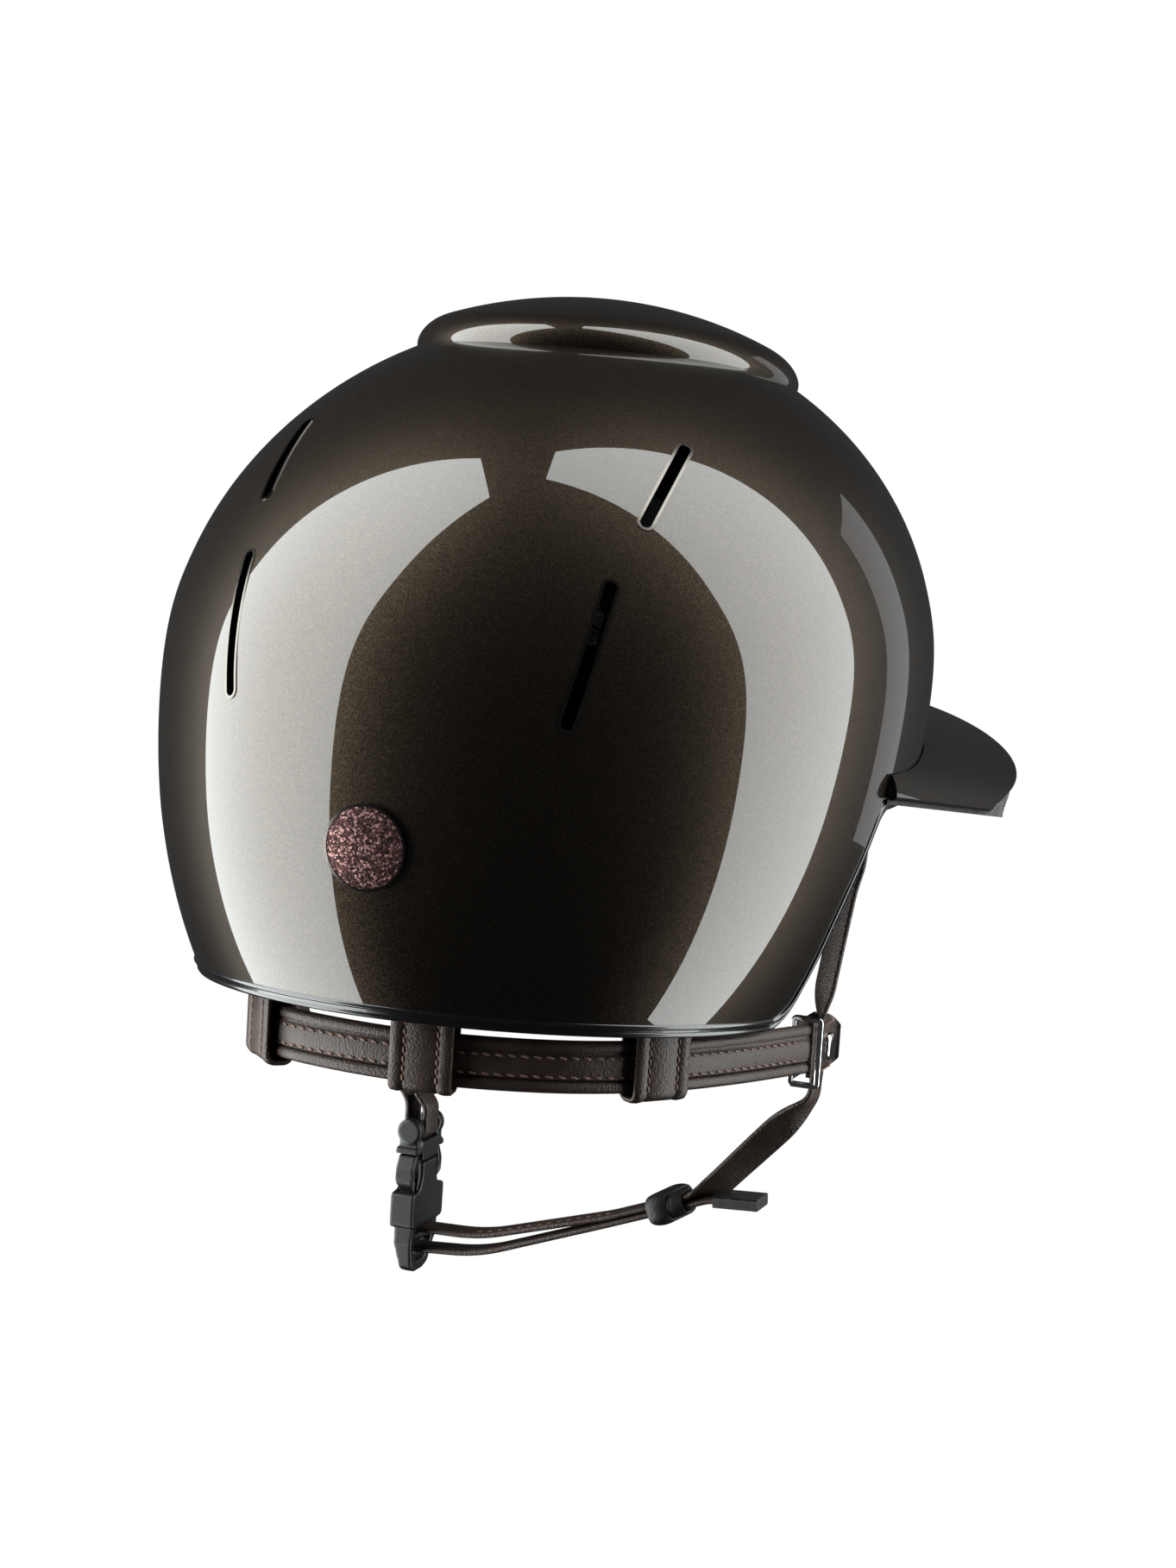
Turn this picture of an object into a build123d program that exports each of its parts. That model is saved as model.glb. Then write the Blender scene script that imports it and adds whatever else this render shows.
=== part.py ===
from build123d import *
import os
from math import cos, radians, sin, sqrt

# Equestrian riding helmet. Millimetres, +Z up, -Y is the front (the peak), +Y the rear,
# +X the wearer's left. The origin is the middle of the head cavity at the brow level,
# where the shell is widest.

# ---- driving sizes: shell --------------------------------------------------------------------
half_width = 114.0
rear_reach = 129.0
front_reach = 140.0
crown_height = 107.0
lower_depth = 156.0
lean = 0.17
shell_wall = 3.0
liner_wall = 20.0
pad_wall = 8.0
layer_gap = 0.3
part_gap = 0.3

# ---- driving sizes: rim ----------------------------------------------------------------------
rim_rear_y = 123.0
rim_rear_z = -84.5
ear_corner_y = 35.0
ear_corner_z = -91.0
ear_mid_y = 31.0
ear_mid_z = -57.0
ear_top_y = 17.0
brow_z = -27.0
rim_corner_radius = 8.0
ear_bend_radius = 22.0
trim_drop = 2.6
trim_depth = 5.0

# ---- driving sizes: vents, badge, ridge and air intake ---------------------------------------
vent_width = 3.4
vent_lip = 0.9
vent_lip_stand = 0.25
channel_width = 7.0
lower_vent = ((54.8, 35.0), (50.5, -4.0))
upper_vent = ((58.6, 71.8), (57.6, 50.0))
badge_radius = 12.0
badge_z = -40.0
badge_thick = 1.2
badge_ring_wall = 0.8
badge_ring_stand = 0.25
ridge_height = 8.0
ridge_round = 6.0
ridge_rear_y = 37.0
ridge_half_width = 63.0
ridge_front_y = -88.0
intake_z = 84.0
intake_length = 74.0
intake_height = 12.0
intake_frame = 2.0
grille_wall = 1.6
grille_sink = 0.6
grille_pitch = 5.0

# ---- driving sizes: peak ---------------------------------------------------------------------
peak_root_y = 16.0
peak_overhang = 72.0
peak_side_out = 7.0
peak_square_y = 20.0
peak_corner_share = 0.80
peak_root_out = 1.5
peak_front_out = 16.0
peak_rise = 45.0
peak_root_z = -28.0
peak_slope = 0.13
peak_wall = 3.0
lining_wall = 1.4
lining_inset = 2.2

# ---- driving sizes: pads ---------------------------------------------------------------------
headband_low = -20.0
headband_high = 16.0
nape_pad_low = -76.0
nape_pad_high = -26.0
nape_pad_gap = 1.5
crown_pad_radius = 46.0

# ---- driving sizes: harness ------------------------------------------------------------------
strap_y = -2.0
strap_width = 10.0
strap_thick = 1.8
anchor_x = half_width - 9.5
anchor_top = -10.0
anchor_z = -16.0
boss_radius = 5.5
boss_gap = 0.15
rivet_radius = 1.6
rivet_head = 3.2
rivet_head_thick = 0.9
pocket_gap = 1.2
pocket_in = 4.0
pocket_out = 32.0
right_junction = 21.5 - half_width
left_junction = half_width - 34.5
sleeve_top = -96.0
sleeve_bottom = -113.0
sleeve_front = -10.0
flap_rear = 11.0
tongue_front = 12.0
tab_rear = 12.4
flap_thick = 1.4
ply_gap = 0.4
ring_y = 12.4
ring_wire = 1.7
ring_clear = 0.6
stud_y = -1.0
cap_radius = 4.4
cap_height = 2.0
post_radius = 1.4
post_hole = 1.8
post_base_radius = 3.4
post_base_thick = 0.9
post_clear = 0.3

# ---- driving sizes: nape band and its hanging loops ------------------------------------------
band_height = 15.0
band_thick = 4.0
band_low_z = -107.3
band_droop = 2.1
band_start_y = 14.0
loop_width = 18.0
loop_ply = 1.5
loop_gap = 0.6
loop_side_gap = 1.7
loop_top_z = -64.0
loop_rivet_z = -72.0

# ---- driving sizes: buckle -------------------------------------------------------------------
buckle_x = left_junction - 44.5
buckle_half_thick = 4.0
buckle_half_width = 12.0
buckle_mouth_z = -158.0
buckle_side_wall = 2.0
buckle_face_wall = 1.6
body_bottom_z = -178.6
cavity_bottom_z = -175.5
window_top_z = -161.5
window_bottom_z = -172.0
male_gap = 0.3
male_bar_z = -148.0
male_bar_radius = 1.8
cheek_radius = 4.0
cheek_inner = 6.0
cheek_outer = 9.6
strap_slot_low = -152.0
prong_pivot_z = -154.2
prong_pivot_y = 8.7
prong_root_radius = 1.6
prong_root_gap = 0.15
prong_thick = 2.2
prong_tip_z = -173.0
prong_gap = 0.2
pad_rise = 1.2
guide_half = 1.8
guide_low_z = -170.0
lower_bar_z = -183.5
lower_bar_radius = 1.7
rail_half = 10.0
rail_wall = 3.6
frame_low_z = -194.5
frame_bar = 3.4

# ---- driving sizes: chin strap, keeper and strap end -----------------------------------------
strand_gap = 0.35
keeper_x = right_junction + 43.5
keeper_length = 12.0
keeper_wall = 1.8
keeper_gap = 0.35
clip_length = 14.0
clip_wall = 0.8
clip_gap = 0.1

parts_folder = "parts"
os.makedirs(parts_folder, exist_ok=True)


def save(piece, label):
    """Label a finished piece and write it as its own node."""
    piece.label = label
    export_step(piece, parts_folder + "/" + label + ".step")


# ---- helpers of the shell form ---------------------------------------------------------------

def form(inset):
    """Solid of the helmet's egg shape, drawn in by inset: four stretched, leaned quarter balls."""
    quarters = []
    for end, reach in ((1, rear_reach - inset), (-1, front_reach - inset)):
        for side, height in ((1, crown_height - inset), (-1, lower_depth)):
            with BuildPart() as quarter:
                Sphere(1)
                with Locations((0, end, side)):
                    Box(2, 2, 2, mode=Mode.INTERSECT)
            stretch = Matrix(
                [
                    [half_width - inset, 0, 0, 0],
                    [0, reach, -lean * height, 0],
                    [0, 0, height, 0],
                    [0, 0, 0, 1],
                ]
            )
            quarters.append(quarter.part.solid().transform_geometry(stretch))
    return quarters[0].fuse(*quarters[1:])


def skin_point(x, z, end=1):
    """Point of the outer skin at x and z, on its rear (end 1) or its front (end -1)."""
    height = crown_height if z > 0 else lower_depth
    reach = rear_reach if end > 0 else front_reach
    depth = end * reach * sqrt(1 - (x / half_width) ** 2 - (z / height) ** 2)
    return Vector(x, depth - lean * z, z)


def skin_normal(point):
    """Outward direction of the outer skin at a point of it."""
    depth = point.Y + lean * point.Z
    height = crown_height if point.Z > 0 else lower_depth
    reach = rear_reach if depth > 0 else front_reach
    slope = depth / reach**2
    return Vector(point.X / half_width**2, slope, point.Z / height**2 + lean * slope).normalized()


def skin_plane(high, low, end=1):
    """Plane on the skin halfway between two points given as x and z, its x axis along them."""
    top = skin_point(*high, end)
    bottom = skin_point(*low, end)
    middle = skin_point((high[0] + low[0]) / 2, (high[1] + low[1]) / 2, end)
    return Plane(middle, x_dir=top - bottom, z_dir=skin_normal(middle)), (top - bottom).length


def side_profile(grow=0.0):
    """Region of the side view that lies above the rim, moved outwards by grow."""
    high = crown_height + 60
    far = rear_reach + 60
    slope = (rim_rear_z - ear_corner_z) / (rim_rear_y - ear_corner_y)
    far_z = ear_corner_z + slope * (far - ear_corner_y)
    with BuildSketch(Plane.YZ) as profile:
        with BuildLine():
            FilletPolyline(
                (far, far_z),
                (ear_corner_y, ear_corner_z),
                (ear_mid_y, ear_mid_z),
                (ear_top_y, brow_z),
                (-front_reach - 60, brow_z),
                radius=[rim_corner_radius, 3 * ear_bend_radius, ear_bend_radius / 2],
            )
            Polyline((-front_reach - 60, brow_z), (-front_reach - 60, high), (far, high), (far, far_z))
        make_face()
        if grow:
            offset(amount=grow, kind=Kind.ARC)
    return profile.sketch


outer_form = form(0)
shell_inner_form = form(shell_wall)
liner_outer_form = form(shell_wall + layer_gap)
liner_inner_form = form(shell_wall + layer_gap + liner_wall)
pad_outer_form = form(shell_wall + 2 * layer_gap + liner_wall)
pad_inner_form = form(shell_wall + 2 * layer_gap + liner_wall + pad_wall)
trim_inner_form = form(trim_depth)

# ---- vent positions: two above two, mirrored left and right ----------------------------------
vents = []
for level, (high, low) in (("upper", upper_vent), ("lower", lower_vent)):
    for side, sign in (("left", 1), ("right", -1)):
        plane, length = skin_plane((sign * high[0], high[1]), (sign * low[0], low[1]))
        vents.append((level + "_" + side, plane, length))

intake_middle = skin_point(0, intake_z, -1)
intake_plane = Plane(intake_middle, x_dir=(1, 0, 0), z_dir=skin_normal(intake_middle))

# ---- shell -----------------------------------------------------------------------------------
with BuildPart() as outer_shell:
    add(outer_form)
    add(shell_inner_form, mode=Mode.SUBTRACT)
    extrude(side_profile(), amount=half_width + 10, both=True, mode=Mode.INTERSECT)
    for _, plane, length in vents:
        with BuildSketch(plane):
            SlotOverall(length + 2 * vent_lip, vent_width + 2 * vent_lip)
        extrude(amount=12, both=True, mode=Mode.SUBTRACT)
    with BuildSketch(intake_plane):
        SlotOverall(intake_length, intake_height)
    extrude(amount=14, both=True, mode=Mode.SUBTRACT)
save(outer_shell.part, "outer_shell")

with BuildPart() as rim_trim:
    extrude(side_profile(trim_drop), amount=half_width + 10, both=True)
    extrude(side_profile(), amount=half_width + 10, both=True, mode=Mode.SUBTRACT)
    add(outer_form, mode=Mode.INTERSECT)
    add(trim_inner_form, mode=Mode.SUBTRACT)
save(rim_trim.part, "rim_trim")

lip_outer_form = form(-vent_lip_stand)
for name, plane, length in vents:
    with BuildPart() as vent_bezel:
        with BuildSketch(plane):
            SlotOverall(length + 2 * vent_lip - 0.1, vent_width + 2 * vent_lip - 0.1)
            SlotOverall(length, vent_width, mode=Mode.SUBTRACT)
        extrude(amount=10, both=True)
        add(lip_outer_form, mode=Mode.INTERSECT)
        add(shell_inner_form, mode=Mode.SUBTRACT)
    save(vent_bezel.part, "vent_bezel_" + name)

# ---- badge: a plain disc in a thin ring, both following the skin -----------------------------
badge_plane = Plane((0, rear_reach / 2, badge_z), x_dir=(-1, 0, 0), z_dir=(0, 1, 0))
badge_form = form(-badge_thick)
badge_ring_form = form(-badge_thick - badge_ring_stand)
with BuildPart() as badge_disc:
    with BuildSketch(badge_plane):
        Circle(badge_radius - badge_ring_wall)
    extrude(amount=rear_reach)
    add(badge_form, mode=Mode.INTERSECT)
    add(outer_form, mode=Mode.SUBTRACT)
save(badge_disc.part, "badge_disc")

with BuildPart() as badge_ring:
    with BuildSketch(badge_plane):
        Circle(badge_radius)
        Circle(badge_radius - badge_ring_wall + 0.02, mode=Mode.SUBTRACT)
    extrude(amount=rear_reach)
    add(badge_ring_form, mode=Mode.INTERSECT)
    add(outer_form, mode=Mode.SUBTRACT)
save(badge_ring.part, "badge_ring")

# ---- crown ridge: a raised, rounded plate that widens towards the air intake -----------------
ridge_top_form = form(-ridge_height)
with BuildPart() as crown_ridge:
    with BuildSketch(Plane.XY.offset(crown_height * 0.55)):
        with BuildLine():
            rear_curve = Spline(
                (-ridge_half_width, ridge_front_y / 3),
                (0, ridge_rear_y),
                (ridge_half_width, ridge_front_y / 3),
                tangents=((0.25, 1), (0.25, -1)),
            )
            front_curve = Spline(
                (ridge_half_width, ridge_front_y / 3),
                (0, ridge_front_y),
                (-ridge_half_width, ridge_front_y / 3),
                tangents=((-0.25, -1), (-0.25, 1)),
            )
        make_face()
    extrude(amount=crown_height)
    add(ridge_top_form, mode=Mode.INTERSECT)
    add(outer_form, mode=Mode.SUBTRACT)
    wall_edges = crown_ridge.faces().filter_by(GeomType.EXTRUSION).edges()
    top_faces = crown_ridge.faces().filter_by(GeomType.EXTRUSION, reverse=True).sort_by(Axis.Z)[-2:]
    fillet([edge for edge in top_faces.edges() if edge in wall_edges], ridge_round)
save(crown_ridge.part, "crown_ridge")

# ---- air intake: a bar grille in a frame, set in the front of the shell ----------------------
grille_outer_form = form(grille_sink)
with BuildPart() as front_grille:
    with BuildSketch(intake_plane):
        SlotOverall(intake_length - 2 * intake_frame - 0.2, intake_height - 2 * intake_frame - 0.2)
        count = int((intake_length - intake_height) / grille_pitch)
        with GridLocations(grille_pitch, 0, count, 1):
            SlotOverall(
                intake_height - 2 * intake_frame - 1.6, grille_pitch * 0.6, rotation=90, mode=Mode.SUBTRACT
            )
    extrude(amount=14, both=True)
    add(grille_outer_form, mode=Mode.INTERSECT)
    add(form(grille_sink + grille_wall), mode=Mode.SUBTRACT)
save(front_grille.part, "front_grille")

with BuildPart() as intake_bezel:
    with BuildSketch(intake_plane):
        SlotOverall(intake_length - 0.2, intake_height - 0.2)
        SlotOverall(intake_length - 2 * intake_frame, intake_height - 2 * intake_frame, mode=Mode.SUBTRACT)
    extrude(amount=14, both=True)
    add(lip_outer_form, mode=Mode.INTERSECT)
    add(shell_inner_form, mode=Mode.SUBTRACT)
save(intake_bezel.part, "intake_bezel")


# ---- peak and its lining ---------------------------------------------------------------------
def arch(inset, wall):
    """Arched sheet of the peak, drawn in by inset: a loft from the temples to beyond the tip."""
    front_y = -front_reach - peak_overhang - 2 * peak_wall
    front_z = peak_root_z - (peak_root_y - front_y) * peak_slope
    root_end = (peak_root_y, peak_root_z, half_width + peak_root_out)
    front_end = (front_y, front_z, half_width + peak_front_out)
    with BuildPart() as sheet:
        for y, z, half in (root_end, front_end):
            with BuildSketch(Plane((0, y, z), x_dir=(1, 0, 0), z_dir=(0, -1, 0))):
                Ellipse(half - inset, peak_rise - inset)
                Ellipse(half - inset - wall, peak_rise - inset - wall, mode=Mode.SUBTRACT)
                with Locations((0, -peak_rise)):
                    Rectangle(4 * half, 2 * peak_rise, mode=Mode.SUBTRACT)
        loft(ruled=True)
    return sheet.part


def peak_outline(inset):
    """Plan of the peak: straight sides from the temples, broad round corners, a flat-curved tip."""
    half = half_width + peak_side_out - inset
    tip = front_reach + peak_overhang - inset
    corner_x = half * peak_corner_share
    corner_y = -peak_square_y - (tip - peak_square_y) * peak_corner_share
    with BuildSketch(Plane.XY.offset(-2 * peak_rise)) as plan:
        with BuildLine():
            Spline(
                (-half, -peak_square_y),
                (-corner_x, corner_y),
                (0, -tip),
                (corner_x, corner_y),
                (half, -peak_square_y),
                tangents=((0, -1), (0, 1)),
            )
            Polyline(
                (half, -peak_square_y),
                (half, peak_root_y),
                (-half, peak_root_y),
                (-half, -peak_square_y),
            )
        make_face()
    return plan.sketch


peak_seat_form = form(-layer_gap)
with BuildPart() as peak:
    add(arch(0, peak_wall))
    extrude(peak_outline(0), amount=4 * peak_rise, mode=Mode.INTERSECT)
    add(peak_seat_form, mode=Mode.SUBTRACT)
peak_piece = peak.part.solids().sort_by(SortBy.VOLUME)[-1]
save(Part(peak_piece.wrapped), "peak")

with BuildPart() as peak_lining:
    add(arch(peak_wall + 0.1, lining_wall))
    extrude(peak_outline(lining_inset), amount=4 * peak_rise, mode=Mode.INTERSECT)
    add(form(-layer_gap - 0.2), mode=Mode.SUBTRACT)
lining_piece = peak_lining.part.solids().sort_by(SortBy.VOLUME)[-1]
save(Part(lining_piece.wrapped), "peak_lining")

# ---- nape band route: plan points of its middle line, chosen by hand -------------------------
# as shares of half_width and rear_reach, with its ends at the junctions.
band_shares = [
    (-0.7105, 0.3566),
    (-0.5833, 0.5736),
    (-0.3772, 0.7481),
    (-0.0965, 0.8411),
    (0.1842, 0.8217),
    (0.3728, 0.7364),
    (0.5219, 0.5116),
    (0.6228, 0.2946),
]
band_points = [(x * half_width, y * rear_reach) for x, y in band_shares]
band_points = [(right_junction, band_start_y)] + band_points + [(left_junction, band_start_y)]
band_pivot_y = rear_reach - 19.0
band_plane = Plane(
    (0, band_pivot_y, band_low_z),
    x_dir=(1, 0, 0),
    z_dir=(0, -sin(radians(band_droop)), cos(radians(band_droop))),
)


def band_route():
    """Middle line of the nape band, drawn in plan on the band's own sloping plane."""
    return Spline([(x, y - band_pivot_y) for x, y in band_points])


with BuildLine() as band_plan:
    Spline(band_points)
band_edge = band_plan.line.edge()

with BuildPart() as nape_band:
    with BuildSketch(band_plane):
        with BuildLine():
            band_route()
        trace(line_width=band_thick)
    extrude(amount=band_height)
    for junction, side in ((right_junction, -1), (left_junction, 1)):
        tongue_x = junction + side * (strap_thick / 2 + ply_gap + flap_thick / 2)
        with BuildSketch(Plane.XY.offset(sleeve_bottom + 1)):
            with Locations((tongue_x, (tongue_front + band_start_y + 2) / 2)):
                Rectangle(flap_thick, band_start_y + 2 - tongue_front)
        extrude(amount=sleeve_top - sleeve_bottom - 2)
save(nape_band.part, "nape_band")

# ---- hanging loops: leather tabs that rise inside the rim, with a loop round the band --------
loop_stations = {"left": 6, "centre": 4, "right": 2}
loop_planes = {}
for name, index in loop_stations.items():
    along = band_edge.tangent_at(band_edge.param_at_point(Vector(*band_points[index])))
    outward = Vector(-along.Y, along.X, 0)
    spot = band_points[index]
    low = band_low_z + (spot[1] - band_pivot_y) * sin(radians(band_droop))
    loop_planes[name] = Plane((spot[0], spot[1], low), x_dir=outward, z_dir=along)


def boss_length(plane, height):
    """Distance along a plane's x axis from its origin to just inside the shell."""
    start = plane.origin + Vector(0, 0, height)
    reach = 0.0
    while True:
        spot = start + plane.x_dir * (reach + 0.25)
        size = rear_reach if spot.Y + lean * spot.Z > 0 else front_reach
        high = lower_depth if spot.Z < 0 else crown_height
        share = (spot.X / (half_width - shell_wall)) ** 2
        share += ((spot.Y + lean * spot.Z) / (size - shell_wall)) ** 2 + (spot.Z / high) ** 2
        if share > 1:
            return reach
        reach += 0.25


def boss(name, plane, height, start):
    """Moulded boss between a strap's outer face and the shell, hollow for its rivet."""
    with BuildPart() as piece:
        with BuildSketch(Plane(plane.origin + Vector(0, 0, height) + plane.x_dir * start, z_dir=plane.x_dir)):
            Circle(boss_radius)
            Circle(rivet_radius + 0.05, mode=Mode.SUBTRACT)
        extrude(amount=40)
        add(boss_form, mode=Mode.INTERSECT)
    save(piece.part.solids().sort_by(SortBy.VOLUME)[-1], name)


def rivet(name, plane, height, back, front):
    """Rivet with a low head against the strap's inner face and its shank in the boss."""
    with BuildPart() as piece:
        with BuildSketch(Plane(plane.origin + Vector(0, 0, height) + plane.x_dir * back, z_dir=plane.x_dir)):
            Circle(rivet_radius)
        extrude(amount=front - back)
        with BuildSketch(Plane(plane.origin + Vector(0, 0, height) + plane.x_dir * back, z_dir=-plane.x_dir)):
            Circle(rivet_head)
        extrude(amount=rivet_head_thick)
        fillet(piece.edges().sort_by(Axis(plane.origin, plane.x_dir))[0], rivet_head_thick * 0.6)
    save(piece.part, name)


boss_form = form(shell_wall + 0.05)
loop_inner = band_thick / 2 + loop_side_gap
tab_thick = 2 * loop_ply
for name, plane in loop_planes.items():
    with BuildPart() as nape_loop:
        with BuildSketch(plane):
            with Locations((0, band_height / 2)):
                RectangleRounded(2 * (loop_inner + loop_ply), band_height + 2 * (loop_gap + loop_ply), 1.6)
                Rectangle(2 * loop_inner, band_height + 2 * loop_gap, mode=Mode.SUBTRACT)
            with Locations((0, (loop_top_z - plane.origin.Z + band_height + loop_gap) / 2)):
                Rectangle(tab_thick, loop_top_z - plane.origin.Z - band_height - loop_gap)
        extrude(amount=loop_width / 2, both=True)
        rivet_spot = plane.origin + Vector(0, 0, loop_rivet_z - plane.origin.Z)
        with BuildSketch(Plane(rivet_spot, z_dir=plane.x_dir)):
            Circle(rivet_radius + 0.05)
        extrude(amount=tab_thick, both=True, mode=Mode.SUBTRACT)
    save(nape_loop.part, "nape_loop_" + name)
    height = loop_rivet_z - plane.origin.Z
    reach = boss_length(plane, height)
    boss("loop_boss_" + name, plane, height, tab_thick / 2 + boss_gap)
    rivet("loop_rivet_" + name, plane, height, -tab_thick / 2 - boss_gap, reach - 1)


# ---- junctions below the ears: tab, ring, flap with its press stud ---------------------------
def upright(x_low, x_high, y_low, y_high, z_low, z_high):
    """Sizes and place of a box between two corners."""
    place = Location(((x_low + x_high) / 2, (y_low + y_high) / 2, (z_low + z_high) / 2))
    return place, (abs(x_high - x_low), abs(y_high - y_low), abs(z_high - z_low))


def across(junction, side, near, far):
    """X of two distances outwards from the middle of the strap at a junction."""
    return junction + side * near, junction + side * far


ply_inner = strap_thick / 2 + ply_gap
ply_outer = ply_inner + flap_thick
ring_inner = ply_outer + ring_clear
for name, side, junction in (("right", -1, right_junction), ("left", 1, left_junction)):
    middle_z = (sleeve_top + sleeve_bottom) / 2
    stud_plane = Plane((junction, stud_y, middle_z), x_dir=(0, 1, 0), z_dir=(side, 0, 0))

    with BuildPart() as tab:
        place, size = upright(
            *across(junction, side, -ply_outer, -ply_inner),
            sleeve_front, tab_rear, sleeve_bottom, sleeve_top,
        )
        with Locations(place):
            Box(*size)
        fillet(tab.edges().filter_by(Axis.X), 2.5)
        with BuildSketch(stud_plane):
            Circle(post_radius + 0.1)
        extrude(amount=2 * ply_outer, both=True, mode=Mode.SUBTRACT)
    save(tab.part, "junction_tab_" + name)

    with BuildPart() as ring:
        with BuildSketch(Plane((junction, ring_y, middle_z), x_dir=(1, 0, 0), z_dir=(0, 1, 0))):
            high = sleeve_top - sleeve_bottom + 2 * ring_clear
            RectangleRounded(2 * (ring_inner + ring_wire), high + 2 * ring_wire, ring_wire)
            Rectangle(2 * ring_inner, high, mode=Mode.SUBTRACT)
        extrude(amount=ring_wire / 2, both=True)
        fillet(ring.faces().filter_by(Axis.Y).edges(), ring_wire * 0.28)
    save(ring.part, "junction_ring_" + name)

    with BuildPart() as flap:
        place, size = upright(
            *across(junction, side, ply_inner, ply_outer), sleeve_front, flap_rear, sleeve_bottom, sleeve_top
        )
        with Locations(place):
            Box(*size)
        fillet(flap.edges().filter_by(Axis.X).group_by(Axis.Y)[0], 4)
        with BuildSketch(stud_plane):
            Circle(post_radius + 0.1)
        extrude(amount=2 * ply_outer, mode=Mode.SUBTRACT)
    save(flap.part, "stud_flap_" + name)

    with BuildPart() as cap:
        with BuildSketch(stud_plane.offset(ply_outer)):
            Circle(cap_radius)
        extrude(amount=cap_height)
        fillet(cap.faces().sort_by(Axis.X)[-1 if side > 0 else 0].edges(), cap_height * 0.7)
        with BuildSketch(stud_plane.offset(ply_outer)):
            Circle(post_radius)
        extrude(amount=-flap_thick)
    save(cap.part, "stud_cap_" + name)

    with BuildPart() as post:
        with BuildSketch(stud_plane.offset(-ply_outer)):
            Circle(post_base_radius)
        extrude(amount=-post_base_thick)
        with BuildSketch(stud_plane.offset(-ply_outer)):
            Circle(post_radius)
        extrude(amount=ply_outer + ply_inner - post_clear)
    save(post.part, "stud_post_" + name)


# ---- straps ----------------------------------------------------------------------------------
def ribbon(points, radii, thick=strap_thick, width=strap_width):
    """Flat strap of even thickness along a route given as x and z, its width along Y."""
    with BuildPart() as strap:
        with BuildSketch(Plane((0, strap_y + width / 2, 0), x_dir=(1, 0, 0), z_dir=(0, -1, 0))):
            with BuildLine():
                FilletPolyline(points, radius=radii)
            trace(line_width=thick)
        extrude(amount=width)
    return strap.part


front_middle = {"right": (6.9 - anchor_x, -56.0), "left": (anchor_x - 13.0, -58.0)}
for name, side, junction in (("right", -1, right_junction), ("left", 1, left_junction)):
    middle_z = (sleeve_top + sleeve_bottom) / 2
    with BuildPart() as front_strap:
        add(
            ribbon(
                [
                    (side * anchor_x, anchor_top),
                    (side * (anchor_x - 0.7), -33.0),
                    front_middle[name],
                    (junction, -92.0),
                    (junction, sleeve_bottom),
                ],
                [24, 60, 24],
            )
        )
        with BuildSketch(Plane((junction, stud_y, middle_z), x_dir=(0, 1, 0), z_dir=(side, 0, 0))):
            Circle(post_hole)
        extrude(amount=strap_thick, both=True, mode=Mode.SUBTRACT)
        with BuildSketch(Plane((side * anchor_x, strap_y, anchor_z), x_dir=(0, 1, 0), z_dir=(side, 0, 0))):
            Circle(rivet_radius + 0.05)
        extrude(amount=2 * strap_thick, both=True, mode=Mode.SUBTRACT)
    save(front_strap.part, "front_strap_" + name)
    anchor_plane = Plane((side * anchor_x, strap_y, 0), x_dir=(side, 0, 0), z_dir=(0, 0, 1))
    reach = boss_length(anchor_plane, anchor_z)
    boss("strap_boss_" + name, anchor_plane, anchor_z, strap_thick / 2 + boss_gap + 0.3)
    rivet("strap_rivet_" + name, anchor_plane, anchor_z, -strap_thick / 2 - boss_gap - 0.3, reach - 1)

strand_pitch = strap_thick + strand_gap
wrap_radius = lower_bar_radius + part_gap + 0.4 + strap_thick / 2
wrap_x = buckle_x + 1.0
upper_z = lower_bar_z + wrap_radius
lower_z = lower_bar_z - wrap_radius
keeper_low = (right_junction + 62.5, -167.0)
keeper_high = (right_junction + 30.5, -154.5)
fall = Vector(keeper_low[0] - keeper_high[0], keeper_low[1] - keeper_high[1]).normalized()
under = Vector(fall.Y, -fall.X) * strand_pitch
chin_points = [
    (right_junction, sleeve_bottom - part_gap),
    (right_junction + 0.5, -121.0),
    (right_junction + 18.5, -141.0),
    keeper_high,
    keeper_low,
    (buckle_x - 23.0, upper_z + 0.6),
    (wrap_x - 2, upper_z),
    (wrap_x + wrap_radius, upper_z),
    (wrap_x + wrap_radius, lower_z),
    (wrap_x - 2, lower_z),
    (buckle_x - 23.0, lower_z + 1.6),
    (keeper_low[0] + under.X, keeper_low[1] + under.Y),
    (keeper_high[0] + under.X, keeper_high[1] + under.Y),
    (right_junction + 15.0, -155.6),
]
chin_radii = [8, 40, 14, 60, 60, 20, wrap_radius, wrap_radius, 20, 60, 60, 14]
save(ribbon(chin_points, chin_radii), "chin_strap")

bar_wrap = male_bar_radius + part_gap + strap_thick / 2
buckle_points = [
    (left_junction, sleeve_bottom - part_gap),
    (left_junction - 1.5, -120.0),
    (left_junction - 20.5, -128.2),
    (buckle_x + 8.5, -131.5),
    (buckle_x + bar_wrap, -139.5),
    (buckle_x + bar_wrap, male_bar_z - bar_wrap),
    (buckle_x - bar_wrap, male_bar_z - bar_wrap),
    (buckle_x - bar_wrap, -141.0),
    (buckle_x + bar_wrap - strand_pitch - 0.2, -136.5),
]
save(ribbon(buckle_points, [7, 30, 12, 7, bar_wrap, bar_wrap, 4]), "buckle_strap")

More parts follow.
